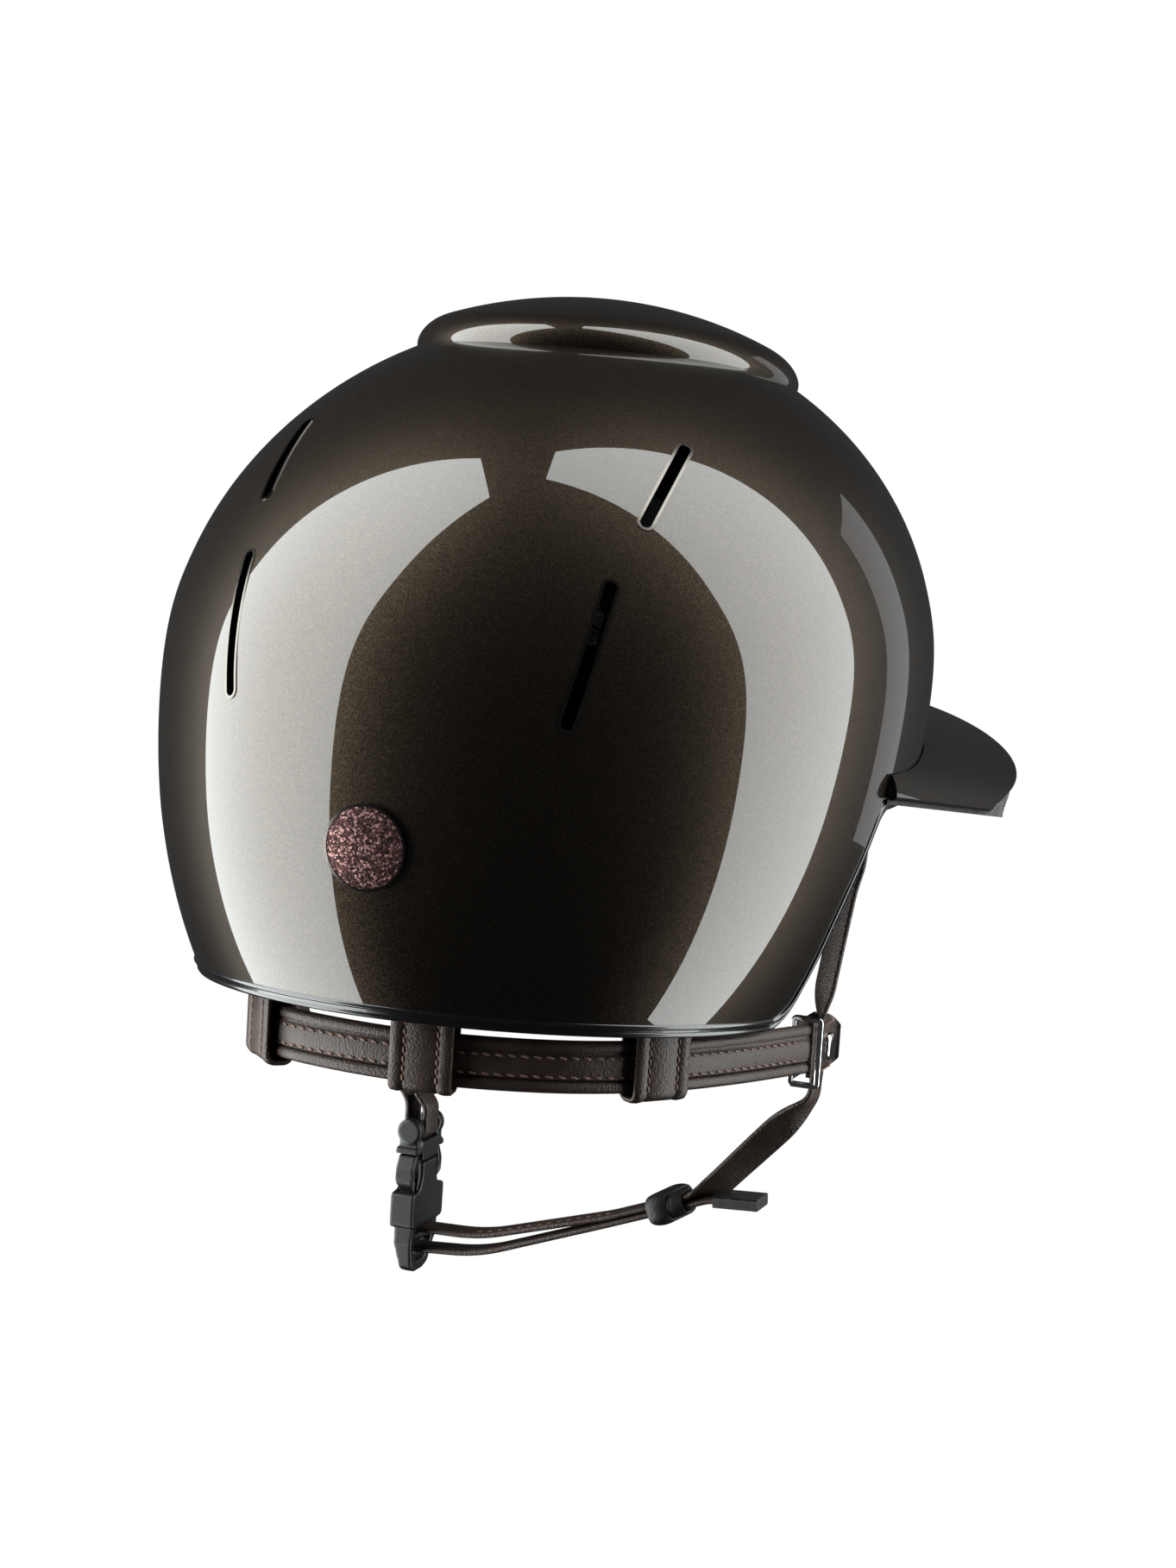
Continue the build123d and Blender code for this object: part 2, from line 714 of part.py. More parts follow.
# ---- keeper and the strap end clip -----------------------------------------------------------
lane = Vector(*keeper_high) + fall * ((keeper_x - keeper_high[0]) / fall.X) + under / 2
keeper_plane = Plane((lane.X, strap_y, lane.Y), x_dir=(0, 1, 0), z_dir=(fall.X, 0, fall.Y))
with BuildPart() as keeper:
    with BuildSketch(keeper_plane):
        inner_wide = strap_width + 2 * keeper_gap
        inner_high = strand_pitch + strap_thick + 2 * keeper_gap
        RectangleRounded(inner_wide + 2 * keeper_wall, inner_high + 2 * keeper_wall, keeper_wall)
        Rectangle(inner_wide, inner_high, mode=Mode.SUBTRACT)
    extrude(amount=keeper_length / 2, both=True)
save(keeper.part, "keeper")

tail_end = Vector(*chin_points[-1])
tail_way = (tail_end - Vector(*chin_points[-2])).normalized()
clip_low = tail_end + tail_way * (clip_gap - clip_length + clip_wall)
clip_plane = Plane((clip_low.X, strap_y, clip_low.Y), x_dir=(0, 1, 0), z_dir=(tail_way.X, 0, tail_way.Y))
with BuildPart() as strap_end_clip:
    with BuildSketch(clip_plane):
        RectangleRounded(
            strap_width + 2 * (clip_wall + clip_gap), strap_thick + 2 * (clip_wall + clip_gap), clip_wall
        )
    extrude(amount=clip_length)
    with BuildSketch(clip_plane):
        Rectangle(strap_width + 2 * clip_gap, strap_thick + 2 * clip_gap)
    extrude(amount=clip_length - clip_wall, mode=Mode.SUBTRACT)
save(strap_end_clip.part, "strap_end_clip")

# ---- buckle, male half: strap bar between cheeks, base, centre guide, and two spring prongs ---
buckle_plane = Plane((buckle_x, strap_y, 0), x_dir=(0, 1, 0), z_dir=(1, 0, 0))
male_low_z = buckle_mouth_z + male_gap
inner_half = buckle_half_width - buckle_side_wall
cavity_half_thick = buckle_half_thick - buckle_face_wall
prong_half_thick = cavity_half_thick - part_gap
prong_outer = inner_half - prong_gap


def box_between(y_low, y_high, z_low, z_high):
    """Rectangle of a sketch on the buckle's plane, between two corners."""
    with Locations(((y_low + y_high) / 2, (z_low + z_high) / 2)):
        return Rectangle(abs(y_high - y_low), abs(z_high - z_low))


with BuildPart() as buckle_male:
    with BuildSketch(buckle_plane):
        box_between(-buckle_half_width + 0.6, buckle_half_width - 0.6, strap_slot_low, male_low_z)
        box_between(-cheek_outer, cheek_outer, strap_slot_low - 1, strap_slot_low + 1.5)
    extrude(amount=buckle_half_thick, both=True)
    for side in (-1, 1):
        with BuildSketch(Plane((buckle_x, strap_y + side * cheek_inner, male_bar_z), z_dir=(0, side, 0))):
            Circle(cheek_radius)
        extrude(amount=cheek_outer - cheek_inner)
        with Locations(
            (buckle_x, strap_y + side * (cheek_inner + cheek_outer) / 2, (male_bar_z + strap_slot_low) / 2)
        ):
            Box(2 * cheek_radius, cheek_outer - cheek_inner, male_bar_z - strap_slot_low)
    with Locations((buckle_x, strap_y, strap_slot_low)):
        Box(2 * cheek_radius + 2, 2 * cheek_inner, 4.6, mode=Mode.SUBTRACT)
    with BuildSketch(Plane((buckle_x, strap_y, male_bar_z), z_dir=(0, 1, 0))):
        Circle(male_bar_radius)
    extrude(amount=cheek_inner + 0.5, both=True)
    with BuildSketch(buckle_plane):
        box_between(-guide_half, guide_half, guide_low_z, male_low_z + 1)
    extrude(amount=prong_half_thick, both=True)
    for side in (-1, 1):
        with BuildSketch(buckle_plane):
            with Locations((side * prong_pivot_y, prong_pivot_z)):
                Circle(prong_root_radius + prong_root_gap)
            slot_inner = prong_outer - prong_thick - 1.1
            slot_outer = prong_outer + prong_root_gap
            box_between(side * slot_inner, side * slot_outer, prong_pivot_z, male_low_z - 1)
        extrude(amount=cavity_half_thick - 0.1, both=True, mode=Mode.SUBTRACT)
save(buckle_male.part, "buckle_male")

for name, side in (("front", -1), ("rear", 1)):
    with BuildPart() as prong:
        with BuildSketch(buckle_plane):
            with Locations((side * prong_pivot_y, prong_pivot_z)):
                Circle(prong_root_radius)
            with BuildLine():
                inner = prong_outer - prong_thick
                Polyline(
                    (side * (inner + 0.1), prong_pivot_z),
                    (side * prong_outer, prong_pivot_z),
                    (side * prong_outer, window_top_z - 0.2),
                    (side * (prong_outer + 0.25), window_top_z - 3.2),
                    (side * (prong_outer + 0.75), window_top_z - 6.2),
                    (side * (prong_outer + pad_rise), window_top_z - 8.2),
                    (side * (prong_outer - 0.4), prong_tip_z + 1.0),
                    (side * (prong_outer - 1.2), prong_tip_z),
                    (side * inner, prong_tip_z + 0.6),
                    (side * (inner + 0.1), prong_pivot_z),
                )
            make_face()
        extrude(amount=prong_half_thick, both=True)
    save(prong.part, "buckle_prong_" + name)

# ---- buckle, female half: housing with side windows, and a lower frame whose bar the strap wraps ---
with BuildPart() as buckle_female:
    with BuildSketch(buckle_plane):
        box_between(-buckle_half_width, buckle_half_width, body_bottom_z, buckle_mouth_z)
    extrude(amount=buckle_half_thick, both=True)
    fillet(buckle_female.edges().filter_by(Axis.Z), 1.4)
    with BuildSketch(buckle_plane):
        box_between(-inner_half, inner_half, cavity_bottom_z, buckle_mouth_z + 1)
    extrude(amount=cavity_half_thick, both=True, mode=Mode.SUBTRACT)
    for side in (-1, 1):
        with BuildSketch(buckle_plane):
            window_inner = side * (inner_half - 1)
            window_outer = side * (buckle_half_width + 1)
            box_between(window_inner, window_outer, window_bottom_z, window_top_z)
        extrude(amount=cavity_half_thick, both=True, mode=Mode.SUBTRACT)
    for side in (-1, 1):
        with BuildSketch(buckle_plane):
            box_between(side * (rail_half - rail_wall), side * rail_half, frame_low_z, body_bottom_z + 1)
        extrude(amount=buckle_half_thick * 0.75, both=True)
    with BuildSketch(buckle_plane):
        box_between(-rail_half, rail_half, frame_low_z, frame_low_z + frame_bar)
    extrude(amount=buckle_half_thick * 0.75, both=True)
    with BuildSketch(Plane((buckle_x, strap_y, lower_bar_z), z_dir=(0, 1, 0))):
        Circle(lower_bar_radius)
    extrude(amount=rail_half - rail_wall / 2, both=True)
save(buckle_female.part, "buckle_female")

# ---- foam liner and comfort pads -------------------------------------------------------------
with BuildPart() as foam_liner:
    add(liner_outer_form)
    add(liner_inner_form, mode=Mode.SUBTRACT)
    extrude(side_profile(-0.6), amount=half_width + 10, both=True, mode=Mode.INTERSECT)
    for _, plane, length in vents:
        with BuildSketch(plane):
            SlotOverall(length - 2, channel_width)
        extrude(amount=-2 * liner_wall, mode=Mode.SUBTRACT)
    with BuildSketch(intake_plane):
        SlotOverall(intake_length - 4, intake_height - 3)
    extrude(amount=-2 * liner_wall, mode=Mode.SUBTRACT)
    for side in (-1, 1):
        place, size = upright(
            side * (anchor_x - strap_thick - rivet_head_thick - 1.4), side * (half_width + 5),
            strap_y - strap_width / 2 - pocket_gap, strap_y + strap_width / 2 + pocket_gap,
            brow_z - 30, anchor_top + pocket_gap,
        )
        with Locations(place):
            Box(*size, mode=Mode.SUBTRACT)
    for plane in loop_planes.values():
        with BuildSketch(plane):
            with Locations(((pocket_out - pocket_in) / 2, 0)):
                Rectangle(pocket_out + pocket_in, 2 * (loop_top_z + pocket_gap - plane.origin.Z))
        extrude(amount=loop_width / 2 + pocket_gap, both=True, mode=Mode.SUBTRACT)
save(foam_liner.part, "foam_liner")

with BuildPart() as headband_pad:
    add(pad_outer_form)
    add(pad_inner_form, mode=Mode.SUBTRACT)
    with Locations((0, 0, (headband_low + headband_high) / 2)):
        Box(3 * half_width, 3 * front_reach, headband_high - headband_low, mode=Mode.INTERSECT)
save(headband_pad.part, "headband_pad")

with BuildPart() as nape_pad:
    add(pad_outer_form)
    add(pad_inner_form, mode=Mode.SUBTRACT)
    with Locations((0, rear_reach, (nape_pad_low + nape_pad_high) / 2)):
        nape_pad_half = band_points[loop_stations["left"]][0] - loop_width / 2 - nape_pad_gap
        Box(2 * nape_pad_half, 2 * rear_reach, nape_pad_high - nape_pad_low, mode=Mode.INTERSECT)
save(nape_pad.part, "nape_pad")

with BuildPart() as crown_pad:
    with BuildSketch(Plane.XY.offset(crown_height / 3)):
        with Locations((0, -lean * crown_height * 0.6)):
            Circle(crown_pad_radius)
    extrude(amount=crown_height)
    add(pad_outer_form, mode=Mode.INTERSECT)
    add(pad_inner_form, mode=Mode.SUBTRACT)
save(crown_pad.part, "crown_pad")
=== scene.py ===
from math import atan2, cos, pi, radians, sin, sqrt

import bmesh
import bpy
from mathutils import Matrix, Vector
from mathutils.geometry import convex_hull_2d


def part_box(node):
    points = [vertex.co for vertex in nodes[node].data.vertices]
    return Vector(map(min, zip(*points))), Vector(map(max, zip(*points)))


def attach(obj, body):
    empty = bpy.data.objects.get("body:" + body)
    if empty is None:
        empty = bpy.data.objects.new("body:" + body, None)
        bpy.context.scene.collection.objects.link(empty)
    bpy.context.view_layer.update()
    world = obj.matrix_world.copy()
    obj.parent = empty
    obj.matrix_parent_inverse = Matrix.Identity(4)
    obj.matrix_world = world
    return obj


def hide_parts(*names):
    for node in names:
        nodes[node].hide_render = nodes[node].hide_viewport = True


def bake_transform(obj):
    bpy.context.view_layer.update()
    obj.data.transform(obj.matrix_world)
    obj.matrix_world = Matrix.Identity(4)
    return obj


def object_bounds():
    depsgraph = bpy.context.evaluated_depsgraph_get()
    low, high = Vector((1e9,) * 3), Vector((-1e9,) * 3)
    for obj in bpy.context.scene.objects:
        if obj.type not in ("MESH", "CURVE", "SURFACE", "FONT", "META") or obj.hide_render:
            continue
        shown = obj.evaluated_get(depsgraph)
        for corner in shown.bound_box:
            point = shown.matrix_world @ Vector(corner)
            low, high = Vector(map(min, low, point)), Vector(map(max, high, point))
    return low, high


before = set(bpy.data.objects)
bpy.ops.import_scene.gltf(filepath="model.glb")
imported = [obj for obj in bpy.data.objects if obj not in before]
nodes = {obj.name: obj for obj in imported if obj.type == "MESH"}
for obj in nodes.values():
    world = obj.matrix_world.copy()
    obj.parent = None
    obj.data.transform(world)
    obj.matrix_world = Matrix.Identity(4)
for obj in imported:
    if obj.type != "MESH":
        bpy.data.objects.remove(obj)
cad_box = [list(corner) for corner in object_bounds()]
scene = bpy.context.scene

# Camera: behind the helmet and to the wearer's right, a little above the rim, rolled
# slightly. It stands about a metre away with a short portrait lens.
camera_data = bpy.data.cameras.new("camera")
camera_data.lens = 71.23
camera_data.sensor_width = 36
camera = bpy.data.objects.new("camera", camera_data)
scene.collection.objects.link(camera)
view_right = Vector((-0.9350, -0.3487, 0.0637))
view_back = Vector((-0.3394, 0.9325, 0.1232))
view_up = view_back.cross(view_right).normalized()
view_right = view_up.cross(view_back).normalized()
camera.matrix_world = Matrix.Translation((-0.3356, 0.8828, 0.0829)) @ Matrix(
    (view_right, view_up, view_back.normalized())
).transposed().to_4x4()
scene.camera = camera

# Floor and air: a plain white floor well below the hanging harness, and a white backdrop.
# The gloss sees a dark room, as in a studio with black flags round a white sweep.
scene.view_settings.view_transform = "Standard"
floor_drop = 0.20
floor_size = 40.0
floor_z = cad_box[0][2] - floor_drop


def finish(name, colour, rough, metal=0.0):
    """New material with an even finish, and its shader."""
    material = bpy.data.materials.new(name)
    material.use_nodes = True
    surface = material.node_tree.nodes["Principled BSDF"]
    surface.inputs["Base Color"].default_value = (*colour, 1)
    surface.inputs["Roughness"].default_value = rough
    surface.inputs["Metallic"].default_value = metal
    return material, surface


bpy.ops.object.select_all(action="DESELECT")
bpy.ops.mesh.primitive_plane_add(size=floor_size, location=(0, 0, floor_z))
floor = bpy.context.object
floor.name = "floor"
floor.visible_glossy = False
floor.visible_diffuse = False
floor_paint, floor_shader = finish("floor_white", (0, 0, 0), 0.9)
floor_shader.inputs["Specular IOR Level"].default_value = 0.0
floor_shader.inputs["Emission Color"].default_value = (1, 1, 1, 1)
floor_shader.inputs["Emission Strength"].default_value = 1.0
floor.data.materials.append(floor_paint)

world = bpy.data.worlds.new("studio")
scene.world = world
world.use_nodes = True
air = world.node_tree
air_out = air.nodes["World Output"]
dark_room = air.nodes["Background"]
dark_room.inputs["Color"].default_value = (0.9, 0.93, 1.0, 1)
dark_room.inputs["Strength"].default_value = 0.04
white_sweep = air.nodes.new("ShaderNodeBackground")
white_sweep.inputs["Color"].default_value = (1, 1, 1, 1)
white_sweep.inputs["Strength"].default_value = 1.0
seen = air.nodes.new("ShaderNodeLightPath")
choose = air.nodes.new("ShaderNodeMixShader")
air.links.new(seen.outputs["Is Camera Ray"], choose.inputs["Fac"])
air.links.new(dark_room.outputs["Background"], choose.inputs[1])
air.links.new(white_sweep.outputs["Background"], choose.inputs[2])
air.links.new(choose.outputs["Shader"], air_out.inputs["Surface"])


def softbox(name, turn, near, width, bottom, top, lean_in, glow, tint):
    """Tall soft light that stands round the helmet at an angle from its rear, facing it."""
    data = bpy.data.lights.new(name, "AREA")
    data.shape = "RECTANGLE"
    data.size = width
    data.size_y = top - bottom
    data.energy = glow * pi * data.size * data.size_y
    data.color = tint
    light = bpy.data.objects.new(name, data)
    scene.collection.objects.link(light)
    light.matrix_world = (
        Matrix.Rotation(-radians(turn), 4, "Z")
        @ Matrix.Translation((0, near, 0))
        @ Matrix.Rotation(radians(lean_in), 4, "X")
        @ Matrix.Translation((0, 0, (top + bottom) / 2))
        @ Matrix.Rotation(-pi / 2, 4, "X")
    )
    return light


softbox("softbox_left", 62, 1.0, 1.05, -1.5, 4.2, 0, 7.5, (0.96, 1.0, 0.99))
softbox("softbox_right", -105, 1.0, 0.66, -1.5, 4.2, 14, 6.0, (0.96, 1.0, 0.99))
softbox("softbox_front", -148, 1.4, 0.34, -0.40, 0.75, 0, 0.7, (0.97, 0.98, 1.0))

# Paint of the shell, ridge and peak: a dark brown base with fine metal flake under a thick
# clear lacquer, so the flake glows only near a light and the lacquer mirrors the lamps.
flake_size = 0.00030


def toned(material, source, socket, *stops):
    """Colour ramp from a source to a socket, its stops given as places and colours."""
    tone = material.node_tree.nodes.new("ShaderNodeValToRGB")
    ramp = tone.color_ramp.elements
    for element, (spot, colour) in zip(ramp, (stops[0], stops[-1])):
        element.position = spot
        element.color = (*colour, 1)
    for spot, colour in stops[1:-1]:
        ramp.new(spot).color = (*colour, 1)
    material.node_tree.links.new(source, tone.inputs["Fac"])
    material.node_tree.links.new(tone.outputs["Color"], socket)


paint, shader = finish("brown_flake_paint", (0.0150, 0.0105, 0.0062), 0.40, 0.92)
tree = paint.node_tree
shader.inputs["Coat Weight"].default_value = 1.0
shader.inputs["Coat Roughness"].default_value = 0.012
shader.inputs["Coat IOR"].default_value = 1.52
place = tree.nodes.new("ShaderNodeTexCoord")
cells = tree.nodes.new("ShaderNodeTexVoronoi")
cells.inputs["Scale"].default_value = 1 / flake_size
tree.links.new(place.outputs["Object"], cells.inputs["Vector"])
split = tree.nodes.new("ShaderNodeSeparateColor")
tree.links.new(cells.outputs["Color"], split.inputs["Color"])
dark_flake = (0.45, (0.0150, 0.0105, 0.0062))
light_flake = (0.97, (0.040, 0.027, 0.0155))
toned(paint, split.outputs["Red"], shader.inputs["Base Color"], dark_flake, light_flake)

# Outer shell: a moulded 3 mm bowl, egg-shaped in four blended quarters, cut along the rim
# with an arch over each ear, and pierced by four slots and the front air intake.
half_width = 0.114
rear_reach = 0.129
front_reach = 0.140
crown_height = 0.107
lower_depth = 0.156
lean = 0.17
shell_wall = 0.003
quarter_blend = 0.3
rim_rear = (0.123, -0.0845)
ear_corner = (0.035, -0.091)
ear_middle = (0.031, -0.057)
ear_top = (0.017, -0.027)
upper_vent = ((0.0586, 0.0718), (0.0576, 0.0500))
lower_vent = ((0.0548, 0.0350), (0.0505, -0.0040))
vent_opening = 0.0052
vent_lip = 0.0009
vent_depth = 0.012
intake_depth = 0.014
intake_z = 0.084
intake_size = (0.074, 0.012)


def eased(value, far):
    """Share from 0 at -far to 1 at far, flat at both ends."""
    share = min(1.0, max(0.0, (value + far) / (2 * far)))
    return share * share * (3 - 2 * share)


def on_form(ball, inset=0.0):
    """Point of the helmet's form for a point of the unit ball, drawn in by inset."""
    height = lower_depth + (crown_height - lower_depth) * eased(ball.z, quarter_blend)
    reach = front_reach + (rear_reach - front_reach) * eased(ball.y, quarter_blend)
    z = ball.z * (height - inset)
    return Vector((ball.x * (half_width - inset), ball.y * (reach - inset) - lean * z, z))


def form_value(point, inset=0.0):
    """How far a point lies out of the form: under 0 inside it, 0 on it, over 0 outside."""
    height = crown_height if point.z > 0 else lower_depth
    depth = point.y + lean * point.z
    reach = rear_reach if depth > 0 else front_reach
    across = point.x / (half_width - inset)
    return across**2 + (depth / (reach - inset)) ** 2 + (point.z / (height - inset)) ** 2 - 1


def form_normal(point):
    """Outward direction of the form at a point near its skin."""
    upper = eased(point.z, 0.035)
    height = lower_depth + (crown_height - lower_depth) * upper
    depth = point.y + lean * point.z
    reach = front_reach + (rear_reach - front_reach) * eased(depth, 0.04)
    slope = depth / reach**2
    return Vector((point.x / half_width**2, slope, point.z / height**2 + lean * slope)).normalized()


def skin_point(x, z, end=1):
    """Point of the outer skin at x and z, on its rear (end 1) or its front (end -1)."""
    height = crown_height if z > 0 else lower_depth
    reach = rear_reach if end > 0 else front_reach
    depth = end * reach * sqrt(1 - (x / half_width) ** 2 - (z / height) ** 2)
    return Vector((x, depth - lean * z, z))


def new_object(name, points, faces):
    """Mesh object from its points and faces, in place."""
    mesh = bpy.data.meshes.new(name)
    mesh.from_pydata([tuple(point) for point in points], [], faces)
    piece = bpy.data.objects.new(name, mesh)
    scene.collection.objects.link(piece)
    return piece


def select_only(*pieces):
    """Select these objects and no others, the first one active."""
    bpy.ops.object.select_all(action="DESELECT")
    for piece in pieces:
        piece.select_set(True)
    bpy.context.view_layer.objects.active = pieces[0]


def outward(piece):
    """Turn every face of a closed mesh outward, and leave the piece selected."""
    select_only(piece)
    bpy.ops.object.mode_set(mode="EDIT")
    bpy.ops.mesh.select_all(action="SELECT")
    bpy.ops.mesh.normals_make_consistent(inside=False)
    bpy.ops.object.mode_set(mode="OBJECT")


def dressed(piece, material, node_name, body="root"):
    """Give a finished piece its material and slot in the place of a node, and its body."""
    piece.data.materials.clear()
    piece.data.materials.append(material)
    if body:
        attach(piece, body)
    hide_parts(node_name)


def form_ball(inset):
    """Closed ball in the helmet's form, drawn in by inset."""
    bpy.ops.object.select_all(action="DESELECT")
    bpy.ops.mesh.primitive_uv_sphere_add(segments=192, ring_count=120, radius=1)
    piece = bpy.context.object
    for vertex in piece.data.vertices:
        vertex.co = on_form(vertex.co, inset)
    return piece


def apply_modifier(piece, kind, **settings):
    """Add a modifier with these settings and apply it."""
    modifier = piece.modifiers.new(kind.lower(), kind)
    for key, value in settings.items():
        setattr(modifier, key, value)
    select_only(piece)
    bpy.ops.object.modifier_apply(modifier=modifier.name)


def carve(piece, cutter, operation="DIFFERENCE"):
    """Cut piece by a closed cutter, which is then removed."""
    apply_modifier(piece, "BOOLEAN", object=cutter, operation=operation, solver="EXACT")
    bpy.data.objects.remove(cutter)


def rounded(corners, radii, steps=7):
    """Points of a line through 2-D corners, each inner corner rounded by an arc."""
    line = [Vector(corners[0])]
    for before, corner, after, radius in zip(corners, corners[1:], corners[2:], radii):
        here = Vector(corner)
        back = (Vector(before) - here).normalized()
        ahead = (Vector(after) - here).normalized()
        half_turn = back.angle(ahead) / 2
        reach = radius / max(1e-6, sin(half_turn) / cos(half_turn))
        middle = here + (back + ahead).normalized() * (radius / sin(half_turn))
        start = here + back * reach - middle
        end = here + ahead * reach - middle
        for step in range(steps + 1):
            line.append(middle + start.normalized().slerp(end.normalized(), step / steps) * radius)
    line.append(Vector(corners[-1]))
    return line


def prism(name, outline, reach):
    """Closed prism whose outline, as y and z, runs from -reach to reach along X."""
    count = len(outline)
    points = [(side * reach, point[0], point[1]) for side in (-1, 1) for point in outline]
    faces = [[k, count + k, count + (k + 1) % count, (k + 1) % count] for k in range(count)]
    faces.append(list(range(count)))
    faces.append(list(range(count, 2 * count))[::-1])
    return new_object(name, points, faces)


def slot_cutter(middle, along, out, length, width, depth):
    """Bar with round ends, for cutting a slot along a direction of the skin."""
    bpy.ops.object.select_all(action="DESELECT")
    bpy.ops.mesh.primitive_cylinder_add(vertices=32, radius=width / 2, depth=2 * depth)
    piece = bpy.context.object
    stretch = (length - width) / 2
    side = out.cross(along).normalized()
    turn = Matrix((along, side, out)).transposed()
    for vertex in piece.data.vertices:
        vertex.co.x += stretch if vertex.co.x > 0 else -stretch
        vertex.co = middle + turn @ vertex.co
    return piece


slope = (rim_rear[1] - ear_corner[1]) / (rim_rear[0] - ear_corner[0])
behind = 0.19
before_all = -0.2
above_all = 0.2
rim_end = (behind, ear_corner[1] + slope * (behind - ear_corner[0]))
rim_turns = [0.008, 0.066, 0.011]
rim_corners = [rim_end, ear_corner, ear_middle, ear_top, (before_all, ear_top[1])]
rim_line = rounded(rim_corners, rim_turns, steps=12)
shell = form_ball(0)
shell.name = "shell_skin"
hollow = form_ball(shell_wall)
carve(shell, hollow)
sky = [Vector((before_all, above_all)), Vector((behind, above_all))]
above_rim = prism("above_rim", rim_line + sky, 0.13)
carve(shell, above_rim, "INTERSECT")

# The rim's edge is kept as a line, for the piping that goes on it.
edges = bmesh.new()
edges.from_mesh(shell.data)
rim_edges = []
for edge in edges.edges:
    on_skin = all(abs(form_value(vertex.co)) < 0.004 for vertex in edge.verts)
    turns = len(edge.link_faces) == 2 and edge.calc_face_angle(0) > 0.6
    if on_skin and turns:
        rim_edges.append(tuple(tuple(vertex.co) for vertex in edge.verts))
edges.free()

vents = []
for high_end, low_end in (upper_vent, lower_vent):
    for side in (1, -1):
        top = skin_point(side * high_end[0], high_end[1])
        bottom = skin_point(side * low_end[0], low_end[1])
        halfway = ((high_end[0] + low_end[0]) / 2, (high_end[1] + low_end[1]) / 2)
        middle = skin_point(side * halfway[0], halfway[1])
        out = form_normal(middle)
        along = (top - bottom) - (top - bottom).dot(out) * out
        vents.append((middle, along.normalized(), out, (top - bottom).length))
for middle, along, out, length in vents:
    carve(shell, slot_cutter(middle, along, out, length + 2 * vent_lip, vent_opening, vent_depth))
intake_middle = skin_point(0, intake_z, -1)
intake_out = form_normal(intake_middle)
carve(shell, slot_cutter(intake_middle, Vector((1, 0, 0)), intake_out, *intake_size, intake_depth))


def true_normals(piece):
    """Give a skin the normals of the form itself, so that its gloss shows no facets."""
    mesh = piece.data
    normals = []
    for face in mesh.polygons:
        for index in face.vertices:
            point = mesh.vertices[index].co
            smooth = form_normal(point)
            if face.normal.dot(smooth) > 0.75:
                normals.append(smooth)
            elif face.normal.dot(smooth) < -0.75:
                normals.append(-smooth)
            else:
                normals.append(face.normal.copy())
    mesh.shade_smooth()
    mesh.normals_split_custom_set(normals)


true_normals(shell)
dressed(shell, paint, "outer_shell")

# Rim trim: black rubber edging pressed over the shell's edge, with a fine round piping
# above and below it that catches the light as two lines.
trim_rubber, trim_shader = finish("black_edging", (0.006, 0.006, 0.0065), 0.22)
trim_shader.inputs["Coat Weight"].default_value = 0.4


def coat(material, *names):
    """Put a material on nodes that keep their shape."""
    for name in names:
        nodes[name].material_slots[0].material = material


coat(trim_rubber, "rim_trim")


def piping(name, drop, draw_in, radius):
    """Round bead that follows the rim's edge, lowered and drawn towards the middle."""
    spots = {}
    lines = []
    for pair in rim_edges:
        ends = []
        for spot in pair:
            key = tuple(round(value, 6) for value in spot)
            if key not in spots:
                spots[key] = len(spots)
            ends.append(spots[key])
        lines.append(ends)
    points = []
    for spot in spots:
        point = Vector(spot)
        inward = Vector((point.x, point.y, 0)).normalized() * draw_in
        points.append(point - inward - Vector((0, 0, drop)))
    mesh = bpy.data.meshes.new(name)
    mesh.from_pydata(points, lines, [])
    bead = bpy.data.objects.new(name, mesh)
    scene.collection.objects.link(bead)
    select_only(bead)
    apply_modifier(bead, "WELD", merge_threshold=0.0004)
    select_only(bead)
    bpy.ops.object.convert(target="CURVE")
    bead = bpy.context.object
    bead.data.bevel_depth = radius
    bead.data.bevel_resolution = 3
    bpy.ops.object.convert(target="MESH")
    bead = bpy.context.object
    bead.data.shade_smooth()
    bead.data.materials.append(trim_rubber)
    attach(bead, "root")


piping("rim_piping_upper", 0.0003, 0.0004, 0.0009)
piping("rim_piping_lower", 0.0026, 0.0016, 0.0010)

# Crown ridge: a raised plate moulded along the crown, widest over the forehead, with a
# crisp base line and a full round shoulder.
ridge_height = 0.0070
ridge_round = 0.0105
ridge_half_width = 0.0585
ridge_rear_y = 0.037
ridge_front_y = -0.088
ridge_wide_y = -0.038
ridge_seat = 0.0006
rings = 40
spokes = 160
points = []
for ring in range(rings + 1):
    share = 1 - (1 - ring / rings) ** 2.2
    for spoke in range(spokes):
        angle = 2 * pi * spoke / spokes
        reach = ridge_rear_y - ridge_wide_y if sin(angle) > 0 else ridge_wide_y - ridge_front_y
        out_x = ridge_half_width * cos(angle)
        out_y = reach * sin(angle)
        rim_reach = sqrt(out_x**2 + out_y**2)
        edge_gap = min(1.0, rim_reach * (1 - share) / ridge_round)
        rise = ridge_height * sqrt(1 - (1 - edge_gap) ** 2)
        x = out_x * share
        y = ridge_wide_y + out_y * share
        z = crown_height
        for _ in range(20):
            depth = y + lean * z
            reach_there = rear_reach if depth > 0 else front_reach
            left = 1 - (x / half_width) ** 2 - (depth / reach_there) ** 2
            z = crown_height * sqrt(max(0.0, left))
        skin = Vector((x, y, z))
        points.append(skin + form_normal(skin) * (rise - ridge_seat))
faces = []
for ring in range(rings):
    for spoke in range(spokes):
        nearest = ring * spokes + spoke
        beside = ring * spokes + (spoke + 1) % spokes
        faces.append([nearest, beside, beside + spokes, nearest + spokes])
ridge = new_object("crown_ridge_skin", points, faces)
apply_modifier(ridge, "WELD", merge_threshold=1e-6)
outward(ridge)
ridge.data.shade_smooth()
dressed(ridge, paint, "crown_ridge")

